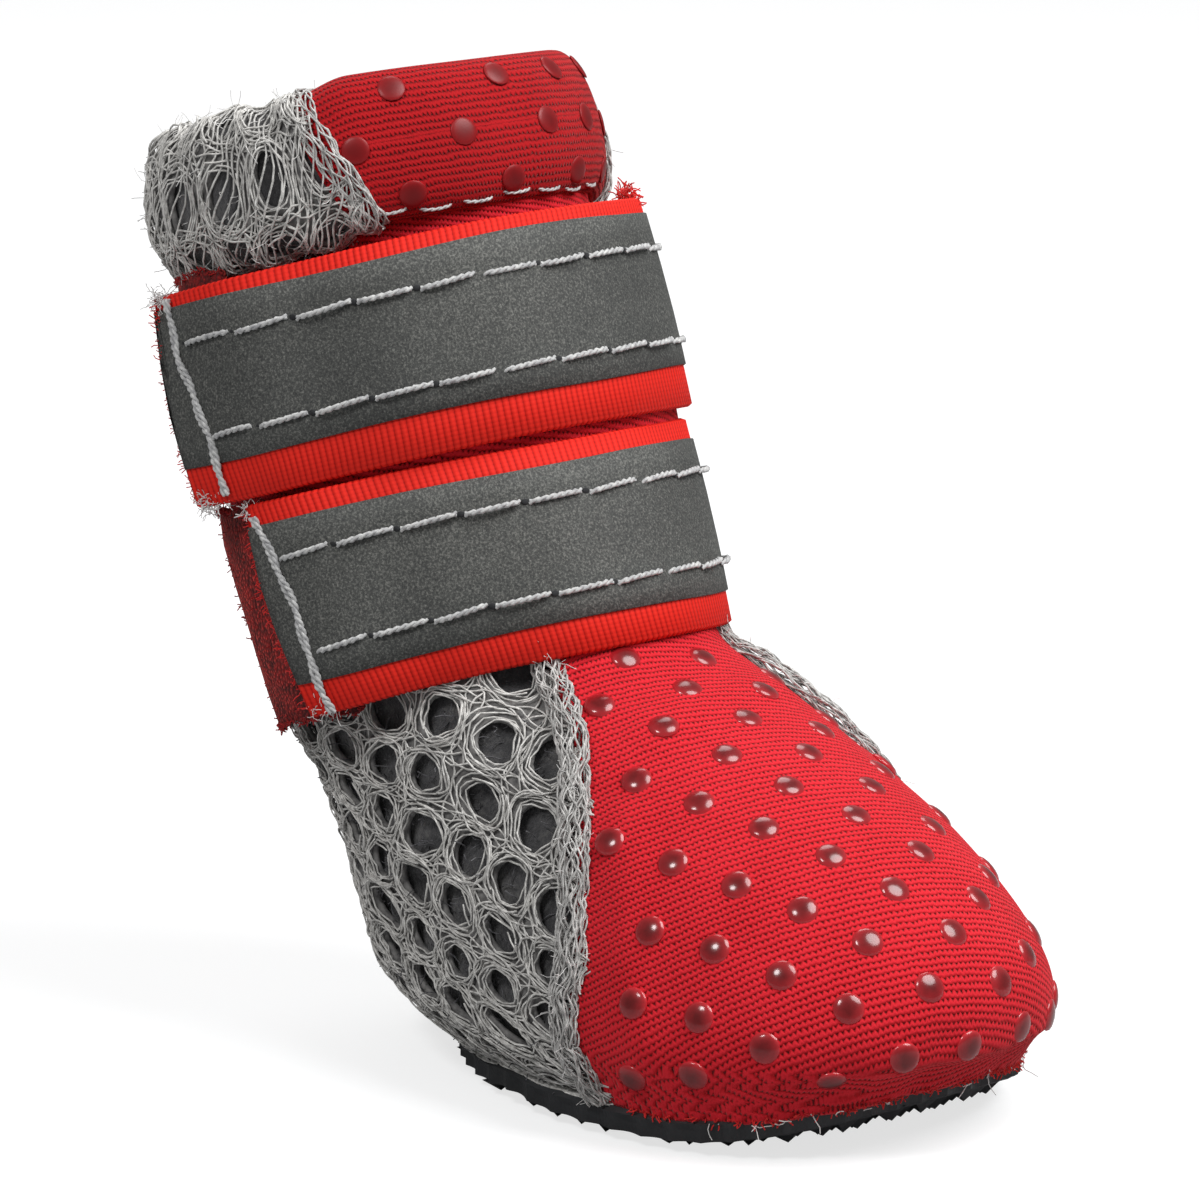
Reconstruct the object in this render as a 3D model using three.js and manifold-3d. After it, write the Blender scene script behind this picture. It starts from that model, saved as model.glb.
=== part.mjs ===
// A small dog's boot, standing on its sole. Millimetres, +X towards the toe, +Y to the boot's left, +Z up.
// The origin is on the ground under the middle of the sole. The upper is one hollow skin: knit-faced foam over
// the toe and the front of the shaft, air mesh at the sides and back, a folded hem round the collar and a slit
// down the back. Two hook-and-loop straps close the shaft over bare pile tabs at the right of the slit.
import * as THREE from "three";
import { mergeVertices } from "three/addons/utils/BufferGeometryUtils.js";
import Module from "manifold-3d";

const wasm = await Module();
wasm.setup();

// Driving dimensions
const SOLE_LENGTH = 64; // heel edge to toe edge
const SOLE_WIDTH = 47.4; // across the ball
const SOLE_THICKNESS = 3.4; // rubber sheet with its tread
const SOLE_BALL_AT = 0.52; // where the sole is widest, as a share of its length from the heel
const HEEL_FULLNESS = 1.95; // 2 is an ellipse, more is squarer
const TOE_FULLNESS = 2.35;
const TOE_SPRING = 4.8; // how far the toe edge curves up from the ground
const HEEL_SPRING = 3.8; // and the heel edge
const FLAT_FROM = -24; // the sole is flat on the ground between these two places
const FLAT_TO = 12;
const ARCH = { from: -12, to: -3, rise: 0.4 }; // the waist that leaves heel and forefoot as the two resting spots

const GAP = 0.3; // clearance between pieces that touch
const SKIN = 2.2; // wall of the upper
const HEM = 5.6; // the folded hem's wall
const INSOLE_THICKNESS = 1.8;

const STRAP_WIDTH = 20.6;
const STRAP_THICKNESS = 1.3; // woven band with its reflective tape
const STRAP_RAMP = 24; // degrees over which a strap climbs onto its pile tab
const PILE_WIDTH = 19.6;
const PILE_THICKNESS = 1.3; // loop tape under the strap's ends
const EDGE_BEVEL = 0.5; // of the sole and insole
const AROUND = 56; // facets around the upper

// Sections of the upper's outer skin from the sole's edge to the collar. Each is an egg-shaped ring in a plane
// that tips up at the front by tilt degrees: x and z are the middle between its front and back points, depth is
// half of the distance between those, half is half of the width, widest says where along the depth the width
// lies (0 back, 1 front), full is the ring's squareness, wall the skin's thickness there, and rings how many
// rings lead to the next section.
const COLUMNS = ["at", "x", "z", "tilt", "depth", "half", "widest", "full", "wall", "rings"];
const named = (row) => Object.fromEntries(row.map((value, i) => [COLUMNS[i], value]));
const SECTIONS = [
  ["feather",        -0.5,   3.7,   0.0,  30.1,  22.6,  0.54,  2.2, SKIN, 3],
  ["toe bulge",      -1.9,   8.7,   2.6,  36.3,  25.4,  0.53,  2.2, SKIN, 3],
  ["toe top",        -5.2,  15.2,   3.9,  38.3,  25.2,   0.5,  2.1, SKIN, 2],
  ["forefoot",      -11.8,  22.9,   5.5,  36.0,  23.8,  0.46,  2.0, SKIN, 2],
  ["instep",        -21.2,  29.3,   9.1,  30.2,  22.0,  0.44,  2.0, SKIN, 2],
  ["ankle",         -31.6,  35.9,  14.8,  23.0,  21.8,  0.43,  2.0, SKIN, 3],
  ["lower strap",   -36.9,  46.8,  16.2,  21.1,  23.6,  0.43,  2.0, SKIN, 2],
  ["mid shaft",     -40.3,  57.5,  15.6,  21.1,  23.9,  0.43,  2.0, SKIN, 1],
  ["upper strap",   -43.5,  68.0,  15.6,  21.0,  23.9,  0.43,  2.0, SKIN, 1],
  ["hem seam",      -46.8,  78.0,  16.8,  20.7,  23.4,  0.43,  2.0, SKIN, 2],
  ["hem roll",      -49.2,  82.2,  17.4,  21.8,  25.0,  0.43,  2.1, HEM, 2],
  ["hem crown",     -51.0,  88.5,  18.4,  20.9,  24.4,  0.45,  2.1, HEM, 2],
  ["hem top",       -51.9,  91.4,  20.7,  18.9,  22.2,  0.46,  2.1, HEM * 0.4, 0],
].map(named);

// The straps. row is where the lower edge lies, in rows of the table. The others are degrees around the skin
// from the front, growing through the boot's left side: 180 and -180 are the back.
const STRAPS = {
  upper: { row: 7.02, start: -122, end: 202, tabFrom: -205, tabTo: -98 },
  lower: { row: 5.12, start: -99, end: 229, tabFrom: -178, tabTo: -76 },
};

// The slit down the back: half of its width at each height, closed at the foot and pinched at the hem. The cut
// runs back along x between two places, from inside the shaft to behind it.
const SLIT_FROM = -39;
const SLIT_TO = -99;
const SLIT = [
  { z: 25.5, halfWidth: 0.05 },
  { z: 30.5, halfWidth: 3.6 },
  { z: 62.0, halfWidth: 3.2 },
  { z: 69.5, halfWidth: 0.8 },
  { z: 110.0, halfWidth: 0.9 },
];

const radians = (degrees) => (degrees * Math.PI) / 180;
const lerp = (a, b, t) => a + (b - a) * t;

// ---- The last: its sections and skin ----

// A section's values at a fractional row, smoothly through the table's rows.
function sectionAt(row) {
  const last = SECTIONS.length - 1;
  const i = Math.min(Math.max(Math.floor(row), 0), last - 1);
  const t = row - i;
  const section = {};
  for (const name of COLUMNS.slice(1)) {
    const [a, b, c, d] = [i - 1, i, i + 1, i + 2].map((k) => SECTIONS[Math.min(Math.max(k, 0), last)][name]);
    const slopeIn = i === 0 ? c - b : (c - a) / 2;
    const slopeOut = i === last - 1 ? c - b : (d - b) / 2;
    const t2 = t * t;
    const t3 = t2 * t;
    section[name] =
      (2 * t3 - 3 * t2 + 1) * b + (t3 - 2 * t2 + t) * slopeIn + (3 * t2 - 2 * t3) * c + (t3 - t2) * slopeOut;
  }
  return section;
}

// A point of the outer skin at a fractional row and an angle around it. The sole's curve lifts the lowest rows.
function skinPoint(row, degrees) {
  const s = sectionAt(row);
  const angle = radians(degrees);
  const power = 2 / s.full;
  const forward = Math.sign(Math.cos(angle)) * Math.abs(Math.cos(angle)) ** power;
  const sideways = Math.sign(Math.sin(angle)) * Math.abs(Math.sin(angle)) ** power;
  const reach = 2 * s.depth * (forward > 0 ? 1 - s.widest : s.widest);
  const along = s.depth * (2 * s.widest - 1) + forward * reach;
  const tilt = radians(s.tilt);
  const x = s.x + along * Math.cos(tilt);
  const lift = groundCurve(x) * Math.max(0, 1 - row);
  return new THREE.Vector3(x, s.half * sideways, s.z + along * Math.sin(tilt) + lift);
}

// The row that lies a distance up the skin from another.
function rowAbove(row, degrees, distance) {
  const step = 0.02;
  let here = skinPoint(row, degrees);
  for (let left = distance; left > 0; ) {
    const next = skinPoint(row + step, degrees);
    const length = next.distanceTo(here);
    row += step * Math.min(1, left / length);
    left -= length;
    here = next;
  }
  return row;
}

// The outward normal of the skin there.
function skinNormal(row, degrees) {
  const step = 0.02;
  const last = SECTIONS.length - 1;
  const up = skinPoint(Math.min(row + step, last), degrees).sub(skinPoint(Math.max(row - step, 0), degrees));
  const round = skinPoint(row, degrees + 1).sub(skinPoint(row, degrees - 1));
  return round.cross(up).normalize();
}

// The skin moved out along its normal, or in where the offset is negative.
function offsetPoint(row, degrees, offset) {
  return skinPoint(row, degrees).addScaledVector(skinNormal(row, degrees), offset);
}

// ---- The sole's outline and curve ----

const heelEdge = -SOLE_LENGTH / 2;
const toeEdge = SOLE_LENGTH / 2;
const ballAt = heelEdge + SOLE_LENGTH * SOLE_BALL_AT;

// Height of the sole's underside: flat, with a low waist, and curved up to the toe and heel edges.
function groundCurve(x) {
  if (x > FLAT_TO) return TOE_SPRING * ((x - FLAT_TO) / (toeEdge - FLAT_TO)) ** 2;
  if (x < FLAT_FROM) return HEEL_SPRING * ((FLAT_FROM - x) / (FLAT_FROM - heelEdge)) ** 2;
  if (x > ARCH.from && x < ARCH.to) {
    const middle = (ARCH.from + ARCH.to) / 2;
    return ARCH.rise * (1 - ((x - middle) / ((ARCH.to - ARCH.from) / 2)) ** 2);
  }
  return 0;
}

// Half of the sole's width at x, with the outline drawn in by inset.
function soleHalfWidth(x, inset) {
  const reach = (x > ballAt ? toeEdge - ballAt : ballAt - heelEdge) - inset;
  const full = x > ballAt ? TOE_FULLNESS : HEEL_FULLNESS;
  const share = Math.min(Math.abs(x - ballAt) / reach, 1);
  return (SOLE_WIDTH / 2 - inset) * (1 - share ** full) ** (1 / full);
}

// Places along the sole, close together at the rounded ends.
function soleStations(inset, count) {
  const stations = [];
  for (let i = 1; i < count; i++) {
    const turn = Math.cos((Math.PI * i) / count);
    const reach = (turn < 0 ? ballAt - heelEdge : toeEdge - ballAt) - inset;
    stations.push(ballAt + turn * reach);
  }
  return stations.concat([FLAT_FROM, FLAT_TO, ARCH.from, ARCH.to]).sort((a, b) => a - b);
}

// ---- Closed meshes from rings of points ----

// A closed surface through rings that all have the same number of points. With closeLoop the last ring joins the
// first, as in a tube bent round on itself; otherwise the first and last rings are filled.
function loft(rings, closeLoop) {
  const size = rings[0].length;
  const positions = rings.flat().flatMap((p) => [p.x, p.y, p.z]);
  const faces = [];
  const count = closeLoop ? rings.length : rings.length - 1;
  for (let j = 0; j < count; j++) {
    const below = j * size;
    const above = ((j + 1) % rings.length) * size;
    for (let i = 0; i < size; i++) {
      const next = (i + 1) % size;
      faces.push(below + i, below + next, above + next, below + i, above + next, above + i);
    }
  }
  if (!closeLoop) {
    const top = (rings.length - 1) * size;
    for (let i = 1; i < size - 1; i++) {
      faces.push(0, i + 1, i, top, top + i, top + i + 1);
    }
  }
  const geometry = new THREE.BufferGeometry();
  geometry.setAttribute("position", new THREE.Float32BufferAttribute(positions, 3));
  geometry.setIndex(faces);
  return outward(geometry);
}

// Turns a closed surface so that its faces point out.
function outward(geometry) {
  const p = geometry.getAttribute("position");
  const index = geometry.index.array;
  const [a, b, c] = [new THREE.Vector3(), new THREE.Vector3(), new THREE.Vector3()];
  let volume = 0;
  for (let i = 0; i < index.length; i += 3) {
    a.fromBufferAttribute(p, index[i]);
    b.fromBufferAttribute(p, index[i + 1]);
    c.fromBufferAttribute(p, index[i + 2]);
    volume += a.dot(b.cross(c));
  }
  if (volume < 0) {
    for (let i = 0; i < index.length; i += 3) [index[i + 1], index[i + 2]] = [index[i + 2], index[i + 1]];
  }
  return geometry;
}

function solidFrom(geometry) {
  const bare = new THREE.BufferGeometry();
  bare.setAttribute("position", geometry.getAttribute("position").clone());
  if (geometry.index) bare.setIndex(geometry.index.clone());
  const merged = mergeVertices(bare, 1e-4);
  return new wasm.Manifold(
    new wasm.Mesh({
      numProp: 3,
      vertProperties: merged.getAttribute("position").array,
      triVerts: new Uint32Array(merged.index.array),
    }),
  );
}

function geometryFrom(solid) {
  const mesh = solid.getMesh();
  const geometry = new THREE.BufferGeometry();
  geometry.setAttribute("position", new THREE.BufferAttribute(mesh.vertProperties, 3));
  geometry.setIndex(new THREE.BufferAttribute(mesh.triVerts, 1));
  geometry.computeVertexNormals();
  return geometry;
}

// ---- The pieces ----

// A plate in the sole's outline, from one height above the ground curve to another.
function solePlate(inset, low, high, count) {
  const rings = soleStations(inset, count).map((x) => {
    const half = soleHalfWidth(x, inset);
    const lift = groundCurve(x);
    const edge = Math.min(EDGE_BEVEL, half / 3);
    const corners = [
      [half - edge, low],
      [half, low + edge],
      [half, high - edge],
      [half - edge, high],
    ];
    const mirrored = corners.map(([y, z]) => [-y, z]).reverse();
    return corners.concat(mirrored).map(([y, z]) => new THREE.Vector3(x, y, z + lift));
  });
  return loft(rings, false);
}

// A line up the skin for a band of one width. A band is stiff across its width, so the line is straight, and its
// lower end stands off wherever the skin bulges past it. Gives both ends and the direction that faces out.
function bandLine(row, degrees, width, stand) {
  const samples = 6;
  const low = rowAbove(row, degrees, (STRAP_WIDTH - width) / 2);
  const rows = Array.from({ length: samples + 1 }, (_, k) => rowAbove(low, degrees, (width * k) / samples));
  const skin = rows.map((here) => offsetPoint(here, degrees, stand));
  const out = skinNormal(rows[samples / 2], degrees);
  const top = skin[samples];
  let push = 0;
  for (let k = 0; k < samples; k++) {
    const chord = skin[0].clone().lerp(top, k / samples);
    push = Math.max(push, skin[k].clone().sub(chord).dot(out) / (1 - k / samples));
  }
  const bottom = skin[0].addScaledVector(out, push);
  return { bottom, top, out };
}

// A band of one width round the skin from a row up and between two angles, standing off it by lift.
function band({ row, start, end }, width, thickness, lift) {
  const steps = Math.ceil((end - start) / (360 / AROUND));
  const rings = [];
  for (let i = 0; i <= steps; i++) {
    const degrees = lerp(start, end, i / steps);
    const { bottom, top, out } = bandLine(row, degrees, width, lift(degrees));
    const outerTop = top.clone().addScaledVector(out, thickness);
    const outerBottom = bottom.clone().addScaledVector(out, thickness);
    rings.push([bottom, top, outerTop, outerBottom]);
  }
  return loft(rings, false);
}

// How far a strap stands off the skin: close to it at the front, over the pile tab towards its ends.
function strapLift({ tabFrom, tabTo }) {
  const over = GAP + PILE_THICKNESS + GAP;
  return (degrees) => {
    const nearStart = 1 - THREE.MathUtils.smoothstep(degrees, tabTo, tabTo + STRAP_RAMP);
    const nearEnd = THREE.MathUtils.smoothstep(degrees, tabFrom + 360 - STRAP_RAMP, tabFrom + 360);
    return lerp(GAP, over, Math.max(nearStart, nearEnd));
  };
}

const outsole = () => solePlate(0, 0, SOLE_THICKNESS, 26);

// The insole lies on the outsole, inside the upper's foot.
function insole() {
  const low = SOLE_THICKNESS + GAP;
  const clearance = 4 * GAP;
  const inset = SOLE_WIDTH / 2 - SECTIONS[0].half + SKIN + clearance;
  return solePlate(inset, low, low + INSOLE_THICKNESS, 20);
}

// The upper's skin: up along the table's rows and back down its inner face, open at the collar and the sole.
function upperShell() {
  const between = ({ rings }, i) => Array.from({ length: rings }, (_, j) => i + j / rings);
  const rows = SECTIONS.flatMap(between).concat(SECTIONS.length - 1);
  const ring = (row, inner) =>
    Array.from({ length: AROUND }, (_, i) => {
      const degrees = (360 * i) / AROUND;
      const point = inner ? offsetPoint(row, degrees, -sectionAt(row).wall) : skinPoint(row, degrees);
      if (row === 0) point.z = groundCurve(point.x) + SOLE_THICKNESS + GAP;
      return point;
    });
  const outer = rows.map((row) => ring(row, false));
  const inner = rows.map((row) => ring(row, true)).reverse();
  return loft(outer.concat(inner), true);
}

// The tapering cut for the slit, from inside the shaft back through its back wall.
function slitCutter() {
  const shape = new THREE.Shape();
  shape.moveTo(SLIT[0].halfWidth, SLIT[0].z);
  for (const { z, halfWidth } of SLIT.slice(1)) shape.lineTo(halfWidth, z);
  for (const { z, halfWidth } of SLIT.slice().reverse()) shape.lineTo(-halfWidth, z);
  const cutter = new THREE.ExtrudeGeometry(shape, { depth: SLIT_FROM - SLIT_TO, bevelEnabled: false });
  // The shape's x runs along the boot's width and its y up, and the extrusion runs backwards.
  const place = new THREE.Matrix4().makeBasis(
    new THREE.Vector3(0, -1, 0),
    new THREE.Vector3(0, 0, 1),
    new THREE.Vector3(-1, 0, 0),
  );
  place.setPosition(SLIT_FROM, 0, 0);
  return cutter.applyMatrix4(place);
}

function upper() {
  return geometryFrom(solidFrom(upperShell()).subtract(solidFrom(slitCutter())));
}

const strap = (row) => band(row, STRAP_WIDTH, STRAP_THICKNESS, strapLift(row));

// The pile that a strap's ends close on, against the skin.
function pileTab({ row, tabFrom, tabTo }) {
  return band({ row, start: tabFrom, end: tabTo }, PILE_WIDTH, PILE_THICKNESS, () => GAP);
}

const material = (color, roughness) => new THREE.MeshStandardMaterial({ color, roughness, metalness: 0 });
const MATERIALS = {
  rubber: material("#17181a", 0.7),
  foam: material("#b9b7b2", 0.9),
  knit: material("#b3121c", 0.85),
  webbing: material("#5b5d5e", 0.6),
  pile: material("#9c0f12", 0.95),
};

const boot = new THREE.Group();
function add(name, geometry, finish) {
  const mesh = new THREE.Mesh(geometry, MATERIALS[finish]);
  mesh.name = name;
  boot.add(mesh);
}

add("outsole", outsole(), "rubber");
add("insole", insole(), "foam");
add("upper", upper(), "knit");
for (const [name, row] of Object.entries(STRAPS)) {
  add(`strap_${name}`, strap(row), "webbing");
  add(`pile_tab_${name}`, pileTab(row), "pile");
}

export default boot;
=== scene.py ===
"""A small dog's boot in knit, air mesh, webbing and rubber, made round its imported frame.

The boot stands on its sole with +X towards the toe, +Y to its left and +Z up. Pieces are modelled
in millimetres: a flat pattern is cut from a grid and pulled over the last, and becomes metres when
it is finished.
"""

import itertools
import math

import bmesh
import bpy
import numpy as np
from mathutils import Matrix, Vector


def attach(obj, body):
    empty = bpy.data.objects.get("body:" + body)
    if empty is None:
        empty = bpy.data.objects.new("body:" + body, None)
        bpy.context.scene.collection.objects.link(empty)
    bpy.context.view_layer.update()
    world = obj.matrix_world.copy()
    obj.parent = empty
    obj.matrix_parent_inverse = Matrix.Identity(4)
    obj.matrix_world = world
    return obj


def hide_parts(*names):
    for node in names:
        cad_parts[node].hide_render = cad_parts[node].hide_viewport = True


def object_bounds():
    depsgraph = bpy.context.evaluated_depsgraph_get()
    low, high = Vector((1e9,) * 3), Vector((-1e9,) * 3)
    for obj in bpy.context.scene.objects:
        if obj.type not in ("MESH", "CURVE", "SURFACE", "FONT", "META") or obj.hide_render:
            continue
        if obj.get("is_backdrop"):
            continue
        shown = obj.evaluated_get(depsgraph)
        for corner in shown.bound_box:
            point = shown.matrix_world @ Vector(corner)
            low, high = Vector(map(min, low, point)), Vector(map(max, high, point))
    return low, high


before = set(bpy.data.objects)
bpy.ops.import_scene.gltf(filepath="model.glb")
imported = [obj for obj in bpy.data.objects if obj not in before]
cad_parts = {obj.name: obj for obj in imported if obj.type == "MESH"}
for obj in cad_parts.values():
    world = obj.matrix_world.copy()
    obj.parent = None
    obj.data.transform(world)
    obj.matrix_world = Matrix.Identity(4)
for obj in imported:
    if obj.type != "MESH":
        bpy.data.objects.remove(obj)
CAD_LOW, CAD_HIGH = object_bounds()
MM = 0.001

# ---- Sizes, in millimetres ----

SOLE_LENGTH = 64.0
SOLE_WIDTH = 47.4
SOLE_TOP = 3.4
SOLE_BALL_AT = 0.52  # where the sole is widest, as a share of its length from the heel
HEEL_FULLNESS = 1.95  # 2 is an ellipse, more is squarer
TOE_FULLNESS = 2.2
TOE_SPRING = 4.8
HEEL_SPRING = 3.8
FLAT = (-24.0, 12.0)  # the sole is flat between these places
ARCH = (-12.0, -3.0)  # the low waist
ARCH_RISE = 0.4
SCALLOPS = 54  # notches round the sole's lower edge
DRAWN_IN = 0.07  # how far the upper hides the sole's ends, as a share of its length
TREAD_PITCH = 3.4
TREAD_DEPTH = 1.2

WALL = 2.2  # the upper's whole wall
KNIT_THICKNESS = 1.2
MESH_THICKNESS = 0.75
LINING_AT = -1.35  # how deep the spacer layer lies under the mesh
TUCK = 4.0  # how far the top of the shaft is drawn in under the roll
TUCK_ROWS = (7.9, 9.05)  # the rows between which that happens
SEAM_ALLOWANCE = 1.5  # degrees by which the vamp runs on under the mesh
KNIT_SKEW = math.radians(12)  # how far the knit's columns lean on the vamp
DOT_PITCH = 7.05  # of the grip dots on the vamp
DOT_CROWDED = 5.2  # dots closer than this are left out
ROLL_TALL = 7.4  # half of the collar roll's height
ROLL_DEEP = 3.3  # and of its thickness
ROLL_ROW = 10.55  # the row that the roll is centred on
ROLL_SAG = 1.4  # how much lower its mesh part lies
ROLL_START = -95  # where the collar's mesh is sewn on, as an angle round the roll
COLLAR_BACK = 179.5  # where its two halves meet, in degrees from the front
COLLAR_DEGREES = 2.12  # degrees round the collar for each millimetre

STRAP_WIDTH = 20.6
STRAP_EASE = 0.5  # how far the woven edges stand out past that on each side
STRAP_THICKNESS = 1.3
TAPE_WIDTH = 16.0
TAPE_THICKNESS = 0.28
PILE_WIDTH = 19.6
PILE_THICKNESS = 1.3
GAP = 0.3
STRAP_RAMP = 24.0  # degrees over which a strap climbs onto its pile tab
LOOSE_END = 9.0  # the length over which a strap's end stands away from the round of the leg
STITCH_LONG = 5.3
STITCH_GAP = 0.75

# Patterns of the cloths
STITCH_WALE = 0.5  # width of a column of knit stitches
STITCH_COURSE = 0.72  # height of a row of them
RIB_PITCH = 0.65  # of the webbing's ribs
WARP_PITCH = 0.45  # of the threads that break them

# The last's sections from the sole's edge to the collar, each a ring tipped up at the front by tilt
# degrees: x and z are its middle, depth and half its half sizes, widest how far forward its width
# lies and full how square it is.
LAST = {
    # section         x      z     tilt  depth  half  widest full
    "feather":     (-0.5,   3.7,   0.0,  30.1,  22.6,  0.54,  2.2),
    "toe bulge":   (-1.9,   8.7,   2.6,  36.3,  25.4,  0.53,  2.2),
    "toe top":     (-5.2,  15.2,   3.9,  38.3,  25.2,  0.50,  2.1),
    "forefoot":   (-11.8,  22.9,   5.5,  36.0,  23.8,  0.46,  2.0),
    "instep":     (-21.2,  29.3,   9.1,  30.2,  22.0,  0.44,  2.0),
    "ankle":      (-31.6,  35.9,  14.8,  23.0,  21.8,  0.43,  2.0),
    "lower strap": (-36.9,  46.8,  16.2,  21.1,  23.6,  0.43,  2.0),
    "mid shaft":  (-40.3,  57.5,  15.6,  21.1,  23.9,  0.43,  2.0),
    "upper strap": (-43.5,  68.0,  15.6,  21.0,  23.9,  0.43,  2.0),
    "hem seam":   (-46.8,  78.0,  16.8,  20.7,  23.4,  0.43,  2.0),
    "hem roll":   (-49.2,  82.2,  17.4,  21.8,  25.0,  0.43,  2.1),
    "hem crown":  (-51.0,  88.5,  18.4,  20.9,  24.4,  0.45,  2.1),
    "hem top":    (-51.9,  91.4,  20.7,  18.9,  22.2,  0.46,  2.1),
}
SECTIONS = np.array(list(LAST.values()))
TOP_ROW = len(SECTIONS) - 1

# The seams between the knit vamp and the mesh, as degrees from the front at each row. Under the
# straps the knit reaches further round.
SEAM = np.array([
    # row, right, left
    (0.0, 82, 84), (0.6, 83, 86), (1.0, 83.5, 86.5), (1.4, 81.5, 86), (1.8, 78.5, 83.5),
    (2.2, 74, 78.5), (2.8, 67.5, 68.5), (3.4, 59.5, 57), (4.0, 49.5, 46.5), (4.5, 40, 38),
    (4.75, 35, 35), (5.1, 30, 32), (5.4, 60, 60), (5.8, 118, 118), (8.2, 118, 118), (8.7, 60, 60),
    (9.2, 47, 48), (12.0, 60, 60),
]).T
# The slit down the back: half of its width at each height
SLIT = ((25.5, 0.05), (30.5, 3.6), (62.0, 3.2), (69.5, 0.8), (110.0, 0.9))

VAMP_BARE = 5.15  # the row up to which the vamp is bare of straps

# Main creases: from one row and angle to another, how wide the soft trough or ridge
# is, and how far it goes in (negative) or stands out.
CREASES = (
    # row  deg   row  deg  width height
    (4.9,  -40,  4.9,   40,  3.0, -0.7),  # pressed in under the lower strap
    (4.4,  -25,  4.5,   25,  2.6,  0.5),
    (0.1,  -58,  1.2,  -50,  1.6, -0.3),  # puckers where the toe is drawn in to the sole
    (0.1,  -36,  1.0,  -31,  1.5, -0.25),
    (0.1,  -12,  1.3,  -10,  1.6, -0.3),
    (0.1,   14,  1.1,   13,  1.5, -0.25),
    (0.1,   38,  1.2,   34,  1.6, -0.3),
    (0.1,   60,  1.1,   53,  1.5, -0.25),
    (1.2,  -70,  3.6,  -49,  2.4,  0.55),  # the foam swells beside the seam
    (1.2,   70,  3.6,   49,  2.4,  0.55),
    (4.6,  -62,  3.2,  -98,  3.4,  0.9),  # the mesh bags below the strap
    (4.5,   64,  3.1,  100,  3.4,  0.9),
    (3.9,  -72,  2.6, -104,  2.0, -0.7),
    (3.8,   75,  2.4,  106,  2.0, -0.7),
    (2.6, -118,  0.8, -150,  2.6,  0.7),  # folds that run from the ankle down to the heel
    (2.6,  120,  0.8,  152,  2.6,  0.7),
    (4.0, -135,  1.9, -166,  2.2, -0.8),
    (4.0,  138,  1.9,  168,  2.2, -0.8),
    (3.9,  172,  0.6,  150,  2.0,  0.7),  # and away from the bottom of the slit
    (3.9, -172,  0.6, -150,  2.0,  0.7),
)

# The straps: row of the lower edge, and degrees round the skin from the front, growing through the
# left side, for the strap and for its pile tab. Near its start a strap drops by so many millimetres
# over a length, its end is cut at a slant and it stands off by flare. The tape lies so far up it,
# with rows of stitches so far in from the tape's edges and one across near each end. The tab's
# nap spans two heights, and its lower edge hugs the leg by so much.
STRAPS = {
    "upper": dict(row=7.02, start=-108, end=202, tab_from=-205, tab_to=-88, drop=(1.5, 42.0),
                  slant=2.7, flare=1.8, tape_at=3.6, rows_in=(2.65, 3.75), end_row=4.2,
                  loose_threads=110, nap_from=-0.3, nap_to=PILE_WIDTH + 0.9, hug=0.0),
    "lower": dict(row=5.12, start=-88, end=207, tab_from=-178, tab_to=-76, drop=(1.1, 25.0),
                  slant=1.7, flare=0.7, tape_at=2.9, rows_in=(3.0, 3.4), end_row=3.1,
                  loose_threads=30, nap_from=-2.4, nap_to=PILE_WIDTH - 0.5, hug=1.9),
}


# ---- The last ----


def through(table, at):
    """Values at fractional rows of a table, on a smooth curve through all of its rows."""
    table = np.asarray(table, float)
    at = np.atleast_1d(np.asarray(at, float))
    end = len(table) - 1
    i = np.clip(np.floor(at), 0, end - 1).astype(int)
    t = (at - i)[:, None]
    a, b, c, d = (table[np.clip(i + k, 0, end)] for k in (-1, 0, 1, 2))
    leave = np.where((i == 0)[:, None], c - b, (c - a) / 2)
    arrive = np.where((i == end - 1)[:, None], c - b, (d - b) / 2)
    start_share = 2 * t**3 - 3 * t**2 + 1
    return start_share * b + (1 - start_share) * c + (t**3 - 2 * t**2 + t) * leave + (t**3 - t**2) * arrive


def unit(vectors):
    return vectors / np.linalg.norm(vectors, axis=-1, keepdims=True)


def smooth_step(value, low, high):
    share = np.clip((value - low) / (high - low), 0, 1)
    return share * share * (3 - 2 * share)


def lengths_along(points):
    """The distance along a line of points up to each of them."""
    steps = np.linalg.norm(np.diff(points, axis=0), axis=1)
    return np.concatenate([[0], np.cumsum(steps)])


def ground(x):
    """Height of the sole's underside above the floor."""
    toe = TOE_SPRING * np.maximum(0, (x - FLAT[1]) / (SOLE_LENGTH / 2 - FLAT[1])) ** 2
    heel = HEEL_SPRING * np.maximum(0, (FLAT[0] - x) / (FLAT[0] + SOLE_LENGTH / 2)) ** 2
    waist = 1 - ((x - sum(ARCH) / 2) / ((ARCH[1] - ARCH[0]) / 2)) ** 2
    return toe + heel + ARCH_RISE * np.maximum(0, waist)


def skin_point(row, degrees):
    """Points on the last at fractional rows of its sections and degrees round from the front."""
    row, degrees = (np.ravel(a).astype(float) for a in np.broadcast_arrays(row, degrees))
    row = np.clip(row, 0, TOP_ROW)
    middle_x, middle_z, tilt, depth, half, widest, full = through(SECTIONS, row).T
    turn, tilt = np.radians(degrees), np.radians(tilt)
    forward = np.sign(np.cos(turn)) * np.abs(np.cos(turn)) ** (2 / full)
    sideways = np.sign(np.sin(turn)) * np.abs(np.sin(turn)) ** (2 / full)
    reach = 2 * depth * np.where(forward > 0, 1 - widest, widest)
    along = depth * (2 * widest - 1) + forward * reach
    x = middle_x + along * np.cos(tilt)
    z = middle_z + along * np.sin(tilt) + ground(x) * np.maximum(0, 1 - row)
    return np.stack([x, half * sideways, z], axis=1)


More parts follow.
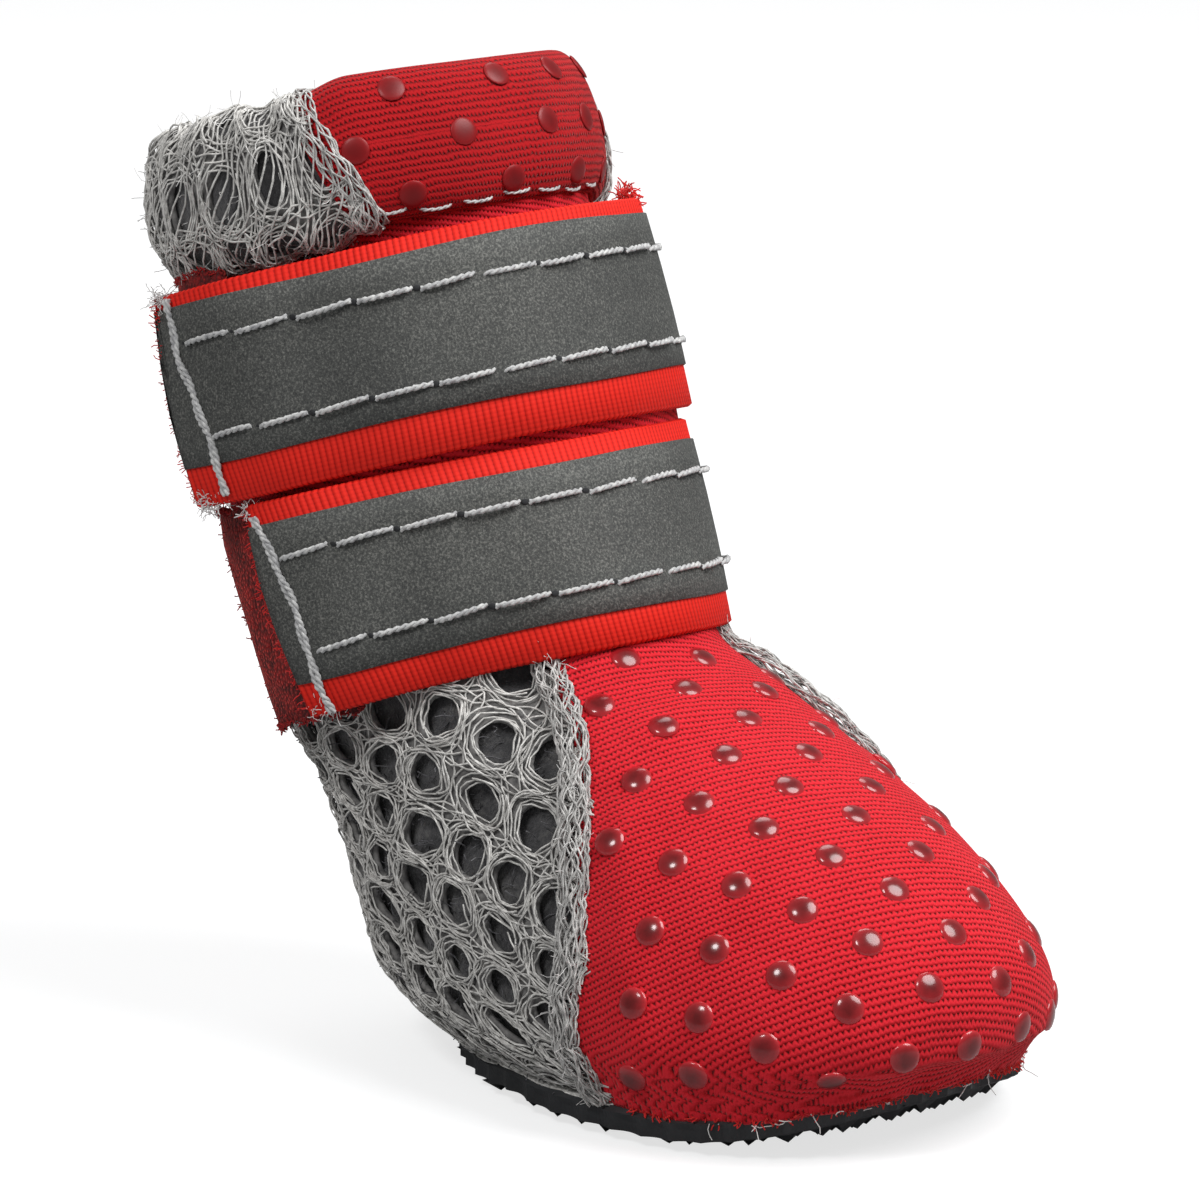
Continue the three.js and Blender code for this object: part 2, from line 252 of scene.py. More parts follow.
def skin_normal(row, degrees):
    row, degrees = np.broadcast_arrays(np.asarray(row, float), np.asarray(degrees, float))
    above = skin_point(np.minimum(row + 0.03, TOP_ROW), degrees)
    upward = above - skin_point(np.maximum(row - 0.03, 0), degrees)
    sideways = skin_point(row, degrees + 1) - skin_point(row, degrees - 1)
    return unit(np.cross(sideways, upward))


def relief(points):
    """How far the main creases lift or sink the skin at each point."""
    lift = np.zeros(len(points))
    for row_a, degrees_a, row_b, degrees_b, width, height in CREASES:
        start, end = skin_point([row_a, row_b], [degrees_a, degrees_b])
        line = end - start
        share = np.clip((points - start) @ line / (line @ line), 0, 1)
        away = np.linalg.norm(points - start - share[:, None] * line, axis=1)
        lift += height * np.exp(-((away / width) ** 2))
    return lift


def on_skin(row, degrees, height=0.0):
    """Points that stand off the skin by a height, with its creases."""
    points = skin_point(row, degrees)
    return points + skin_normal(row, degrees) * np.ravel(height + relief(points))[:, None]


def seam_at(row, side=-1):
    """Degrees from the front to the vamp's seam. side is 1 on the left and -1 on the right."""
    rows, right, left = SEAM
    return np.where(np.asarray(side) > 0, np.interp(row, rows, left), np.interp(row, rows, right))


def slit_half(row):
    """Half of the slit's width at a row, measured at the back."""
    heights, halves = zip(*SLIT)
    return np.interp(skin_point(row, 180)[:, 2], heights, halves)


def slit_degrees(row):
    return np.degrees(slit_half(row) / through(SECTIONS, row)[:, 4])


# The skin measured from the back: which angle lies how far round at each row, and how far up each
# row lies, along the middle of the quarter.
ROW_STEP, SIDE_STEP = 0.1, 0.5
FINE_ROWS = np.arange(0, TOP_ROW + 0.01, ROW_STEP)
FINE_SIDE = np.arange(0, 110, SIDE_STEP)
FROM_BACK = np.arange(0, 181, 1.0)
MID_QUARTER = 118.0
DEGREES_AT = np.array([
    np.interp(FINE_SIDE, lengths_along(skin_point(row, 180 - FROM_BACK)), FROM_BACK)
    for row in FINE_ROWS
])
UP_AT = lengths_along(skin_point(FINE_ROWS, MID_QUARTER))


def between(table, i, j):
    """Looks a table up between its whole rows and columns."""
    i = np.clip(i, 0, table.shape[0] - 1.001)
    j = np.clip(j, 0, table.shape[1] - 1.001)
    low_i, low_j = i.astype(int), j.astype(int)
    u, v = i - low_i, j - low_j
    near = table[low_i, low_j] * (1 - v) + table[low_i, low_j + 1] * v
    far = table[low_i + 1, low_j] * (1 - v) + table[low_i + 1, low_j + 1] * v
    return near * (1 - u) + far * u


def quarter_row(up):
    return np.interp(up, UP_AT, FINE_ROWS)


def quarter_turn(row, round_back):
    """Degrees from the back to a place so many millimetres round from it."""
    return between(DEGREES_AT, row / ROW_STEP, np.maximum(round_back, 0) / SIDE_STEP)


def on_quarter(side):
    """Places a pattern measured in millimetres round from the back and up from the sole."""

    def place(round_back, up, height):
        row = quarter_row(up)
        turn = quarter_turn(row, round_back) + np.minimum(round_back, 0) * 2.6
        return on_skin(row, side * (180 - turn), height)

    return place


def vamp_flat(points):
    """A first guess at where points of the vamp lie once it is spread flat, down and across."""
    centre = np.array([4.0, 0.0, 2.0])
    forward = unit(np.array([20.0, 0.0, 24.4]))
    down = np.array([forward[2], 0.0, -forward[0]])
    away = points - centre
    reach = np.linalg.norm(away, axis=1)
    direction = away / reach[:, None]
    turn = np.arccos(np.clip(direction @ forward, -1, 1))
    spread = reach * turn / np.maximum(np.sin(turn), 1e-6)
    return np.stack([spread * (direction @ down), spread * direction[:, 1]], axis=1)


def vamp_degrees(u, row):
    """Degrees from the front to a place on the vamp. u is -1 and 1 at its right and left edges."""
    return u * (seam_at(row, u) + SEAM_ALLOWANCE)


def spread_vamp(rows=40, columns=34, rounds=700):
    """Flat places for the vamp below the straps, relaxed until neighbours keep their distances."""
    across = np.linspace(-1, 1, columns)
    row, u = np.meshgrid(np.linspace(0, VAMP_BARE, rows), across, indexing="ij")
    true = skin_point(row.ravel(), vamp_degrees(u, row).ravel())
    flat = vamp_flat(true).reshape(rows, columns, 2)
    true = true.reshape(rows, columns, 3)

    def cut(step, length):
        here = slice(max(0, -step), length - max(0, step))
        return here, slice(max(0, step), length + min(0, step))

    for _ in range(rounds):
        moved = np.zeros_like(flat)
        for i, j in ((0, 1), (1, 0), (1, 1), (1, -1)):
            (here_i, there_i), (here_j, there_j) = cut(i, rows), cut(j, columns)
            apart = flat[there_i, there_j] - flat[here_i, here_j]
            wanted = np.linalg.norm(true[there_i, there_j] - true[here_i, here_j], axis=2, keepdims=True)
            pull = apart * (1 - wanted / np.linalg.norm(apart, axis=2, keepdims=True)) * 0.12
            moved[here_i, here_j] += pull
            moved[there_i, there_j] -= pull
        flat += moved
    return flat


def knit_places(u, row):
    """Where places of the vamp lie in the knit: millimetres across its columns and along them."""
    table = spread_vamp()
    i = row / VAMP_BARE * (table.shape[0] - 1)
    j = (u + 1) / 2 * (table.shape[1] - 1)
    bare = np.stack([between(table[:, :, k], i, j) for k in (0, 1)], axis=1)
    shaft = np.stack([-10.25 * row, vamp_degrees(u, row) * 0.41], axis=1)
    down, across = np.where((row <= VAMP_BARE)[:, None], bare, shaft).T
    lean, stand = math.sin(KNIT_SKEW), math.cos(KNIT_SKEW)
    return np.stack([down * lean + across * stand, down * stand - across * lean], axis=1)


def roll_frame(degrees):
    """Middle, upward and outward directions of the collar roll at each angle."""
    degrees = np.ravel(np.asarray(degrees, float))
    upward = unit(skin_point(ROLL_ROW + 0.9, degrees) - skin_point(ROLL_ROW - 1.2, degrees))
    outward = skin_normal(ROLL_ROW, degrees)
    outward = unit(outward - upward * np.sum(outward * upward, axis=1, keepdims=True))
    inset = ROLL_DEEP + 1.1 + np.cos(np.radians(degrees - 46))
    sag = ROLL_SAG * smooth_step(np.abs(degrees), 42, 62)
    middle = skin_point(ROLL_ROW, degrees) - outward * inset[:, None] - upward * sag[:, None]
    return middle, upward, outward


def on_roll(degrees, turn, height=0.0):
    """Points on the collar roll: turn goes round its section, 0 outside, 90 on top and 180 inside."""
    degrees, turn, height = np.broadcast_arrays(*(np.asarray(a, float) for a in (degrees, turn, height)))
    middle, upward, outward = roll_frame(degrees)
    bend = np.radians(turn)
    pinch = 1 - 0.22 * np.exp(-(((180 - np.abs(degrees)) / 5) ** 2))
    puff = 1 + 0.035 * np.sin(np.radians(degrees) * 7 + 0.6) + 0.025 * np.sin(np.radians(degrees) * 13)
    deep = (ROLL_DEEP * pinch * puff + height) * np.sign(np.cos(bend)) * np.abs(np.cos(bend)) ** 0.85
    tall = (ROLL_TALL * pinch + height) * np.sign(np.sin(bend)) * np.abs(np.sin(bend)) ** 0.95
    return middle + outward * deep[:, None] + upward * tall[:, None]


# ---- Modelling ----


def pattern(columns, rows, across, up):
    """A flat pattern piece: a grid between two x and two y values, with its UVs in the same units."""
    bm = bmesh.new()
    bmesh.ops.create_grid(bm, x_segments=columns, y_segments=rows, size=0.5)
    middle = Matrix.Translation(((across[0] + across[1]) / 2, (up[0] + up[1]) / 2, 0))
    stretch = Matrix.Diagonal((across[1] - across[0], up[1] - up[0], 1, 1))
    bmesh.ops.transform(bm, matrix=middle @ stretch, verts=bm.verts)
    layer = bm.loops.layers.uv.new("UVMap")
    for face in bm.faces:
        for loop in face.loops:
            loop[layer].uv = loop.vert.co.xy
    return bm


def change_uvs(bm, change):
    """Sets each face corner's UV to what change makes of its old one."""
    layer = bm.loops.layers.uv.active
    corners = [loop for face in bm.faces for loop in face.loops]
    old = np.array([corner[layer].uv for corner in corners], float)
    for corner, place in zip(corners, change(*old.T)):
        corner[layer].uv = place


def pull_over(bm, place):
    """Moves each vertex of a flat pattern to where place puts its x, y and height."""
    flat = np.array([v.co for v in bm.verts])
    for vert, spot in zip(bm.verts, place(*flat.T)):
        vert.co = spot


def close_up(bm, distance=0.01):
    """Joins the edges of a pattern that has been rolled up, caps its open ends and turns its faces out."""
    bmesh.ops.remove_doubles(bm, verts=bm.verts, dist=distance)
    open_edges = [e for e in bm.edges if e.is_boundary]
    if open_edges:
        bmesh.ops.holes_fill(bm, edges=open_edges, sides=0)
    bmesh.ops.recalc_face_normals(bm, faces=bm.faces)


def piece(name, bm, finish, wall=0.0, smooth_levels=0):
    """A finished object in metres that rides on the boot, with a wall inwards if one is given."""
    bmesh.ops.scale(bm, vec=(MM, MM, MM), verts=bm.verts)
    mesh = bpy.data.meshes.new(name)
    bm.to_mesh(mesh)
    bm.free()
    return dress(name, mesh, finish, wall, smooth_levels)


def dress(name, mesh, finish, wall=0.0, smooth_levels=0):
    """Gives a mesh its material, modifiers and material slot, and fixes it to the boot."""
    mesh.shade_smooth()
    mesh.materials.append(finish)
    obj = bpy.data.objects.new(name, mesh)
    bpy.context.scene.collection.objects.link(obj)
    if wall:
        thick = obj.modifiers.new("Wall", "SOLIDIFY")
        thick.thickness = wall * MM
        thick.offset = -1
    if smooth_levels:
        rounding = obj.modifiers.new("Rounding", "SUBSURF")
        rounding.levels = rounding.render_levels = smooth_levels
    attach(obj, "root")
    return obj


def yarn(name, lines, thickness, finish, sides=0):
    """One mesh of many thin yarns, each along its own line of points in millimetres.

    A yarn has four sides, or more if sides is above 0.
    """
    curve = bpy.data.curves.new(name, "CURVE")
    curve.dimensions = "3D"
    curve.bevel_depth = thickness / 2 * MM
    curve.bevel_resolution = sides
    curve.use_fill_caps = True
    for line in lines:
        spline = curve.splines.new("POLY")
        spline.points.add(len(line) - 1)
        spline.points.foreach_set("co", np.column_stack([line * MM, np.ones(len(line))]).ravel())
    spun = bpy.data.objects.new(name, curve)
    bpy.context.scene.collection.objects.link(spun)
    mesh = bpy.data.meshes.new_from_object(spun.evaluated_get(bpy.context.evaluated_depsgraph_get()))
    bpy.data.objects.remove(spun)
    bpy.data.curves.remove(curve)
    return dress(name, mesh, finish)


def plied(line, outward, radius, lay):
    """The two plies of a twisted thread along a line, each of which turns once every lay millimetres."""
    tangent = unit(np.gradient(line, axis=0))
    side = unit(np.cross(tangent, outward))
    facing = np.cross(side, tangent)
    turns = 2 * math.pi * lengths_along(line) / lay
    wound = []
    for start in (0, math.pi):
        angle = (turns + start)[:, None]
        wound.append(line + radius * (np.cos(angle) * side + np.sin(angle) * facing))
    return wound


def fibres(rng, roots, outward, length, lie=0.5, joints=4):
    """Short bent fibres that grow from roots. lie is from 0, straight out, to 1, any way."""
    heading = unit(outward * (1 - lie) + unit(rng.normal(size=roots.shape)) * (lie + 0.25))
    reach = rng.uniform(*length, size=len(roots))
    steps = [roots]
    for _ in range(joints - 1):
        heading = unit(heading + 0.55 * unit(rng.normal(size=roots.shape)))
        steps.append(steps[-1] + heading * (reach / (joints - 1))[:, None])
    return list(np.stack(steps, axis=1))


def runs(points, keep, least=3):
    """The stretches of a line whose points are kept."""
    found, run = [], []
    for point, kept in zip(points, keep):
        if kept:
            run.append(point)
        elif run:
            found.append(run)
            run = []
    found.append(run)
    return [np.array(r) for r in found if len(r) >= least]


# ---- Finishes ----


def linear(hex_colour):
    """An sRGB hex colour as linear red, green, blue and alpha."""
    channels = (int(hex_colour[i : i + 2], 16) / 255 for i in (1, 3, 5))
    return (*(c / 12.92 if c <= 0.04045 else ((c + 0.055) / 1.055) ** 2.4 for c in channels), 1.0)


def add(tree, kind, inputs=None, stops=(), **settings):
    """Adds a shader node with its settings and, on a colour ramp, its stops of a place and a colour.

    Its inputs are values, sockets to link from, or nodes to link from by their first output.
    """
    made = tree.nodes.new("ShaderNode" + kind)
    for name, value in settings.items():
        setattr(made, name, value)
    for socket, value in (inputs or {}).items():
        if isinstance(value, bpy.types.Node):
            value = value.outputs[0]
        if isinstance(value, bpy.types.NodeSocket):
            tree.links.new(value, made.inputs[socket])
        else:
            made.inputs[socket].default_value = value
    if stops:
        elements = made.color_ramp.elements
        while len(elements) < len(stops):
            elements.new(0.5)
        for element, (place, colour) in zip(elements, stops):
            element.position, element.color = place, linear(colour)
    return made


def new_finish(name, **constants):
    """An empty material with its Principled shader's constants set."""
    finish = bpy.data.materials.new(name)
    finish.use_nodes = True
    tree = finish.node_tree
    shader = tree.nodes["Principled BSDF"]
    for socket, value in constants.items():
        shader.inputs[socket.replace("_", " ")].default_value = value
    return finish, tree, shader


def shade(tree, shader, height=None, depth=0.1, **inputs):
    """Links nodes to the shader's inputs, and a height whose relief is depth millimetres."""
    for socket, node in inputs.items():
        tree.links.new(node.outputs[0], shader.inputs[socket.replace("_", " ")])
    if height is not None:
        bump = add(tree, "Bump", {"Height": height, "Distance": depth * MM, "Strength": 1.0})
        tree.links.new(bump.outputs["Normal"], shader.inputs["Normal"])


def knit_polyester(name, deep, middle, bright):
    """Weft-knit polyester jersey on foam: columns of V-shaped stitches, with painted shade in the gaps
    between them.
    """
    finish, tree, shader = new_finish(name, Roughness=0.85, Specular_IOR_Level=0.15,
                                      Sheen_Weight=0.22, Sheen_Roughness=0.4)
    shader.inputs["Sheen Tint"].default_value = linear("#FF9A98")
    coordinates = add(tree, "TexCoord")
    place = coordinates.outputs["Object"]
    uv = add(tree, "SeparateXYZ", {"Vector": coordinates.outputs["UV"]})
    wander = add(tree, "TexNoise", {"Vector": place, "Scale": 800.0, "Detail": 2.0})
    uneven = add(tree, "Math", {0: wander, 1: 0.7}, operation="MULTIPLY")
    wale = add(tree, "Math", {0: uv.outputs["X"], 1: 1 / STITCH_WALE, 2: uneven},
               operation="MULTIPLY_ADD")
    leg = add(tree, "Math", {0: wale, 1: 0.5}, operation="PINGPONG")
    lean = add(tree, "Math", {0: leg, 1: 0.6, 2: uneven}, operation="MULTIPLY_ADD")
    course = add(tree, "Math", {0: uv.outputs["Y"], 1: 1 / STITCH_COURSE, 2: lean},
                 operation="MULTIPLY_ADD")
    round_course = add(tree, "Math", {0: course, 1: math.pi}, operation="MULTIPLY")
    row = add(tree, "Math", {0: add(tree, "Math", {0: round_course}, operation="SINE")},
              operation="ABSOLUTE")
    round_wale = add(tree, "Math", {0: wale, 1: math.pi}, operation="MULTIPLY")
    stitch = add(tree, "Math", {0: add(tree, "Math", {0: round_wale}, operation="SINE")},
                 operation="ABSOLUTE")
    plain = add(tree, "Math", {0: row, 1: 0.7}, operation="POWER")
    groove = add(tree, "Math", {0: 1.0, 1: plain}, operation="SUBTRACT")
    broken = add(tree, "Math", {0: stitch, 1: -0.75, 2: 1.1}, operation="MULTIPLY_ADD")
    sunk = add(tree, "Math", {0: groove, 1: broken}, operation="MULTIPLY")
    height = add(tree, "Math", {0: 1.0, 1: sunk}, operation="SUBTRACT")
    patch = add(tree, "TexNoise", {"Vector": place, "Scale": 160.0, "Detail": 3.0})
    # Lower parts of the stitches are coloured darker, so the gaps get painted shade.
    shade_from_height = add(tree, "Math", {0: height, 1: 0.82}, operation="MULTIPLY")
    tone = add(tree, "Math", {0: patch, 1: 0.22, 2: shade_from_height}, operation="MULTIPLY_ADD")
    colour = add(tree, "ValToRGB", {"Fac": tone}, stops=((0.3, deep), (0.6, middle), (0.92, bright)))
    shade(tree, shader, height, depth=0.25, Base_Color=colour)
    return finish


def silicone_dots(name, roughness, wet, wet_and_shaded_middle, rim):
    """Screen-printed clear silicone: wet-looking drops that darken the knit, with painted shade in their
    middle and painted light at their paler rim, for the light that the clear dome bends.
    """
    finish, tree, shader = new_finish(name, Roughness=0.5, Coat_Weight=wet, Coat_Roughness=roughness,
                                      IOR=1.41, Specular_IOR_Level=0.1)
    coordinates = add(tree, "TexCoord")
    uv = add(tree, "SeparateXYZ", {"Vector": coordinates.outputs["UV"]})
    # From the top of each drop to its rim: painted shade in the middle, painted light at the rim.
    out = add(tree, "Math", {0: uv.outputs["Y"], 1: -2.0, 2: 2.0},
              operation="MULTIPLY_ADD", use_clamp=True)
    edge = add(tree, "Math", {0: out, 1: 1.6}, operation="POWER")
    cloud = add(tree, "TexNoise", {"Vector": coordinates.outputs["Object"], "Scale": 900.0,
                                   "Detail": 2.0})
    from_cloud = add(tree, "Math", {0: cloud, 1: 0.3}, operation="MULTIPLY")
    share = add(tree, "Math", {0: edge, 1: 0.7, 2: from_cloud}, operation="MULTIPLY_ADD")
    colour = add(tree, "ValToRGB", {"Fac": share}, stops=((0.15, wet_and_shaded_middle), (0.75, rim)))
    shade(tree, shader, Base_Color=colour)
    return finish


def polyester_yarn(name, dark, light, roughness=0.78, grain=1400.0):
    """Spun polyester: matt yarn whose filaments catch the light in streaks."""
    finish, tree, shader = new_finish(name, Roughness=roughness, Sheen_Weight=0.12,
                                      Sheen_Roughness=0.5, Specular_IOR_Level=0.3)
    place = add(tree, "TexCoord").outputs["Object"]
    streak = add(tree, "TexNoise", {"Vector": place, "Scale": grain, "Detail": 3.0,
                                    "Roughness": 0.6})
    colour = add(tree, "ValToRGB", {"Fac": streak}, stops=((0.3, dark), (0.7, light)))
    shade(tree, shader, streak, depth=0.05, Base_Color=colour)
    return finish


def spacer_fabric():
    """Brushed spacer knit under the mesh: dark fluff, with paler patches where the pile is thin."""
    finish, tree, shader = new_finish("brushed_spacer_fabric", Roughness=0.95, Sheen_Weight=0.3,
                                      Sheen_Roughness=0.6)
    place = add(tree, "TexCoord").outputs["Object"]
    patch = add(tree, "TexNoise", {"Vector": place, "Scale": 150.0, "Detail": 2.0})
    fluff = add(tree, "TexNoise", {"Vector": place, "Scale": 1900.0, "Detail": 4.0,
                                   "Roughness": 0.7})
    from_fluff = add(tree, "Math", {0: fluff, 1: 0.6}, operation="MULTIPLY")
    share = add(tree, "Math", {0: patch, 1: 0.8, 2: from_fluff}, operation="MULTIPLY_ADD")
    colour = add(tree, "ValToRGB", {"Fac": share},
                 stops=((0.45, "#1D1C1E"), (0.72, "#403F41"), (0.95, "#6A6866")))
    shade(tree, shader, fluff, depth=0.25, Base_Color=colour)
    return finish


def ribbed_webbing():
    """Woven polyester webbing: ribs across the band, each broken by its warp threads."""
    finish, tree, shader = new_finish("woven_polyester_webbing", Roughness=0.7,
                                      Specular_IOR_Level=0.2)
    uv = add(tree, "SeparateXYZ", {"Vector": add(tree, "TexCoord").outputs["UV"]})
    waves = []
    for along, pitch in ((uv.outputs["X"], RIB_PITCH), (uv.outputs["Y"], WARP_PITCH)):
        phase = add(tree, "Math", {0: along, 1: math.pi / pitch}, operation="MULTIPLY")
        wave = add(tree, "Math", {0: phase}, operation="SINE")
        waves.append(add(tree, "Math", {0: wave}, operation="ABSOLUTE"))
    from_warp = add(tree, "Math", {0: waves[1], 1: 0.18}, operation="MULTIPLY")
    height = add(tree, "Math", {0: waves[0], 1: 0.82, 2: from_warp}, operation="MULTIPLY_ADD")
    # The colour follows the ribs' height: painted shade between the ribs.
    colour = add(tree, "ValToRGB", {"Fac": height},
                 stops=((0.05, "#A00E07"), (0.4, "#CC190E"), (0.98, "#E4281B")))
    shade(tree, shader, height, depth=0.07, Base_Color=colour)
    return finish


def reflective_tape():
    """Glass-bead reflective tape: grey film with a fine sparkle of dark and bright beads.

    Real beads are about 0.05 mm wide, and they are drawn four times coarser so that they show.
    """
    finish, tree, shader = new_finish("glass_bead_reflective_tape", Roughness=0.7,
                                      Specular_IOR_Level=0.3)
    place = add(tree, "TexCoord").outputs["Object"]
    beads = add(tree, "TexNoise", {"Vector": place, "Scale": 4200.0, "Detail": 2.0,
                                   "Roughness": 0.8})
    haze = add(tree, "TexNoise", {"Vector": place, "Scale": 70.0, "Detail": 3.0})
    from_haze = add(tree, "Math", {0: haze, 1: 0.15}, operation="MULTIPLY")
    share = add(tree, "Math", {0: beads, 1: 0.85, 2: from_haze}, operation="MULTIPLY_ADD")
    colour = add(tree, "ValToRGB", {"Fac": share},
                 stops=((0.3, "#303131"), (0.5, "#4A4B49"), (0.75, "#84847F")))
    shade(tree, shader, beads, depth=0.04, Base_Color=colour)
    return finish


def loop_pile(name, deep, tips):
    """Nylon loop pile: a nap of tiny loops, with painted shade between them, nearly black red, and
    brighter red on their tips.
    """
    finish, tree, shader = new_finish(name, Roughness=0.92, Sheen_Weight=0.5, Sheen_Roughness=0.35)
    shader.inputs["Sheen Tint"].default_value = linear("#FF5A50")
    place = add(tree, "TexCoord").outputs["Object"]
    loops = add(tree, "TexVoronoi", {"Vector": place, "Scale": 2300.0, "Randomness": 1.0})
    nap = add(tree, "TexNoise", {"Vector": place, "Scale": 420.0, "Detail": 3.0})
    share = add(tree, "Math", {0: loops, 1: -0.7, 2: nap}, operation="MULTIPLY_ADD")
    # Darker between the loops: painted shade.
    colour = add(tree, "ValToRGB", {"Fac": share}, stops=((0.0, deep), (0.5, tips)))
    shade(tree, shader, share, depth=0.35, Base_Color=colour)
    return finish


def moulded_rubber():
    """Moulded nitrile rubber: matt black with a faint bloom and mould grain."""
    finish, tree, shader = new_finish("moulded_nitrile_rubber", Roughness=0.52, IOR=1.52)
    place = add(tree, "TexCoord").outputs["Object"]
    grain = add(tree, "TexNoise", {"Vector": place, "Scale": 1500.0, "Detail": 4.0})
    bloom = add(tree, "TexNoise", {"Vector": place, "Scale": 90.0, "Detail": 2.0})
    colour = add(tree, "ValToRGB", {"Fac": bloom}, stops=((0.3, "#17181A"), (0.75, "#2A2B2E")))
    dull = add(tree, "MapRange", {"Value": grain, "To Min": 0.45, "To Max": 0.72})
    shade(tree, shader, grain, depth=0.05, Base_Color=colour, Roughness=dull)
    return finish


# Each knit's first colour is the painted shade in the gaps between its stitches.
KNIT = knit_polyester("knit_polyester_jersey", "#4C0207", "#AC0C14", "#D42430")
# The hem's knit is the same jersey in darker colours: painted shade.
KNIT_HEM_SHADED = knit_polyester("knit_polyester_jersey_painted_shade", "#3C0205", "#83070D", "#AA1319")
# The dots' dark middle and pale rim are painted shade and painted light.
DOT_GLOSS = silicone_dots("printed_silicone_gloss", 0.17, 1.0, "#620509", "#BC262E")
# The hem's dots are matt, and their darker colours are painted shade like the hem's knit.
DOT_MATT = silicone_dots("printed_silicone_worn_painted_shade", 0.35, 0.4, "#6A070B", "#92161A")
MESH_YARN = polyester_yarn("air_mesh_polyester_yarn", "#94928F", "#E4E2DE")
MESH_BODY = polyester_yarn("air_mesh_ground_yarn", "#454445", "#8A8886", grain=900.0)
EDGE_YARN = polyester_yarn("rolled_edge_polyester_yarn", "#82807E", "#D4D2CF")
SPACER = spacer_fabric()
SPACER_FLUFF = polyester_yarn("spacer_fluff_fibre", "#3A393B", "#77767A")
WEBBING = ribbed_webbing()
TAPE = reflective_tape()
# The pile's first colour is painted shade between the loops.
PILE = loop_pile("nylon_loop_pile", "#3A0204", "#8A090C")
PILE_FIBRE = polyester_yarn("nylon_pile_fibre", "#7A0609", "#B81416")
SEWING_THREAD = polyester_yarn("polyester_sewing_thread", "#98989A", "#D0D0CE", roughness=0.6)
NEEDLE_HOLE = polyester_yarn("needle_hole_shadow", "#17181A", "#2A2B2D")
PALE_FIBRE = polyester_yarn("loose_polyester_fibre", "#C9C7C5", "#F2F1EF")
RED_FIBRE = polyester_yarn("cut_red_fibre", "#B01015", "#F0302A")
RUBBER = moulded_rubber()


# ---- The sole ----


def sole_outline(turn, inset=0.0):
    """Points of the sole's outline at angles in radians, 0 at the toe, drawn in by inset."""
    ball = SOLE_LENGTH * (SOLE_BALL_AT - 0.5)
    ahead = np.cos(turn) > 0
    reach = np.where(ahead, SOLE_LENGTH / 2 - ball, SOLE_LENGTH / 2 + ball) - inset
    power = 2 / np.where(ahead, TOE_FULLNESS, HEEL_FULLNESS)
    x = ball + reach * np.sign(np.cos(turn)) * np.abs(np.cos(turn)) ** power
    y = (SOLE_WIDTH / 2 - inset) * np.sign(np.sin(turn)) * np.abs(np.sin(turn)) ** power
    return x, y


def plate(profile, inset, columns, scallop=0.0):
    """A closed plate in the sole's outline, whose lower edge may be scalloped.

    profile lists (share of the way out, height) round its section.
    """
    steps = len(profile) - 1
    bm = pattern(columns, steps, (0, 2 * math.pi), (0, steps))
    shares, heights = np.array(profile, float).T

    def place(turn, step, _):
        share, height = (np.interp(step, range(steps + 1), part) for part in (shares, heights))
        x, y = sole_outline(turn, inset)
        under = np.clip((SOLE_TOP - height) / 1.5, 0, 1)
        bite = 1 - scallop * np.abs(np.sin(turn * SCALLOPS / 2)) * under * (share > 0.95)
        x, y = x * share * bite * (1 - DRAWN_IN * np.cos(turn) ** 2), y * share * bite
        return np.stack([x, y, height + ground(x)], axis=1)

    pull_over(bm, place)
    close_up(bm)
    return bm


def make_studs():
    """The tread: three-sided pyramids that point down, in rows that fit into each other."""
    rise = TREAD_PITCH * math.sqrt(3) / 2
    radius = TREAD_PITCH / math.sqrt(3) * 0.985
    long, wide = SOLE_LENGTH / 2 - 3.5, SOLE_WIDTH / 2 - 1.7
    studs = bmesh.new()
    for j, i, point_up in itertools.product(range(-9, 10), range(-24, 25), (0, 1)):
        x = (i + 0.5 * (j % 2) + 0.5 * point_up) * TREAD_PITCH
        y = (j + (1 + point_up) / 3) * rise
        if (x / long) ** 2 + (y / wide) ** 2 > 1.0:
            continue
        spin = Matrix.Rotation(math.radians(-90 if point_up else 90), 4, "Z")
        down = Matrix.Rotation(math.pi, 4, "X")
        place = Matrix.Translation((x, y, TREAD_DEPTH / 2 + 0.02)) @ spin @ down
        bmesh.ops.create_cone(studs, cap_ends=True, segments=3, radius1=radius, radius2=0.0,
                              depth=TREAD_DEPTH, matrix=place)
    for vert in studs.verts:
        vert.co.z += float(ground(np.array(vert.co.x)))
    bmesh.ops.recalc_face_normals(studs, faces=studs.faces)
    return studs


def make_outsole():
    low, high = TREAD_DEPTH, SOLE_TOP
    profile = [(0, high), (0.5, high), (0.85, high), (0.975, high), (1, high - 0.4),
               (1, (low + high) / 2), (1, low), (0.985, low - 0.15), (0.85, low), (0.5, low), (0, low)]
    bm = plate(profile, 0.0, 432, scallop=0.022)
    studs = make_studs()
    mesh = bpy.data.meshes.new("studs")
    studs.to_mesh(mesh)
    studs.free()
    bm.from_mesh(mesh)
    bpy.data.meshes.remove(mesh)
    sole = piece("rubber_outsole", bm, RUBBER)
    sole.data.shade_flat()
    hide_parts("outsole")


def make_insole():
    low = SOLE_TOP + GAP
    profile = [(0, low + 1.8), (0.5, low + 1.8), (0.9, low + 1.7), (1, low + 1.2), (1, low + 0.4),
               (0.96, low), (0.5, low), (0, low)]
    inset = SOLE_WIDTH / 2 - LAST["feather"][4] + WALL + 1.2
    insole = piece("foam_insole", plate(profile, inset, 96), SPACER)
    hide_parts("insole")


# ---- The upper ----


def over_sole(row, degrees, height):
    """Points of the vamp, whose edge bulges out and down over the sole at the toe."""
    ahead = np.maximum(0, np.cos(np.radians(degrees))) ** 0.6
    near = np.exp(-((np.asarray(row) / 0.4) ** 2)) * ahead
    points = on_skin(row, degrees, height + 0.9 * near)
    points[:, 2] -= 0.5 * np.ravel(near)
    return points


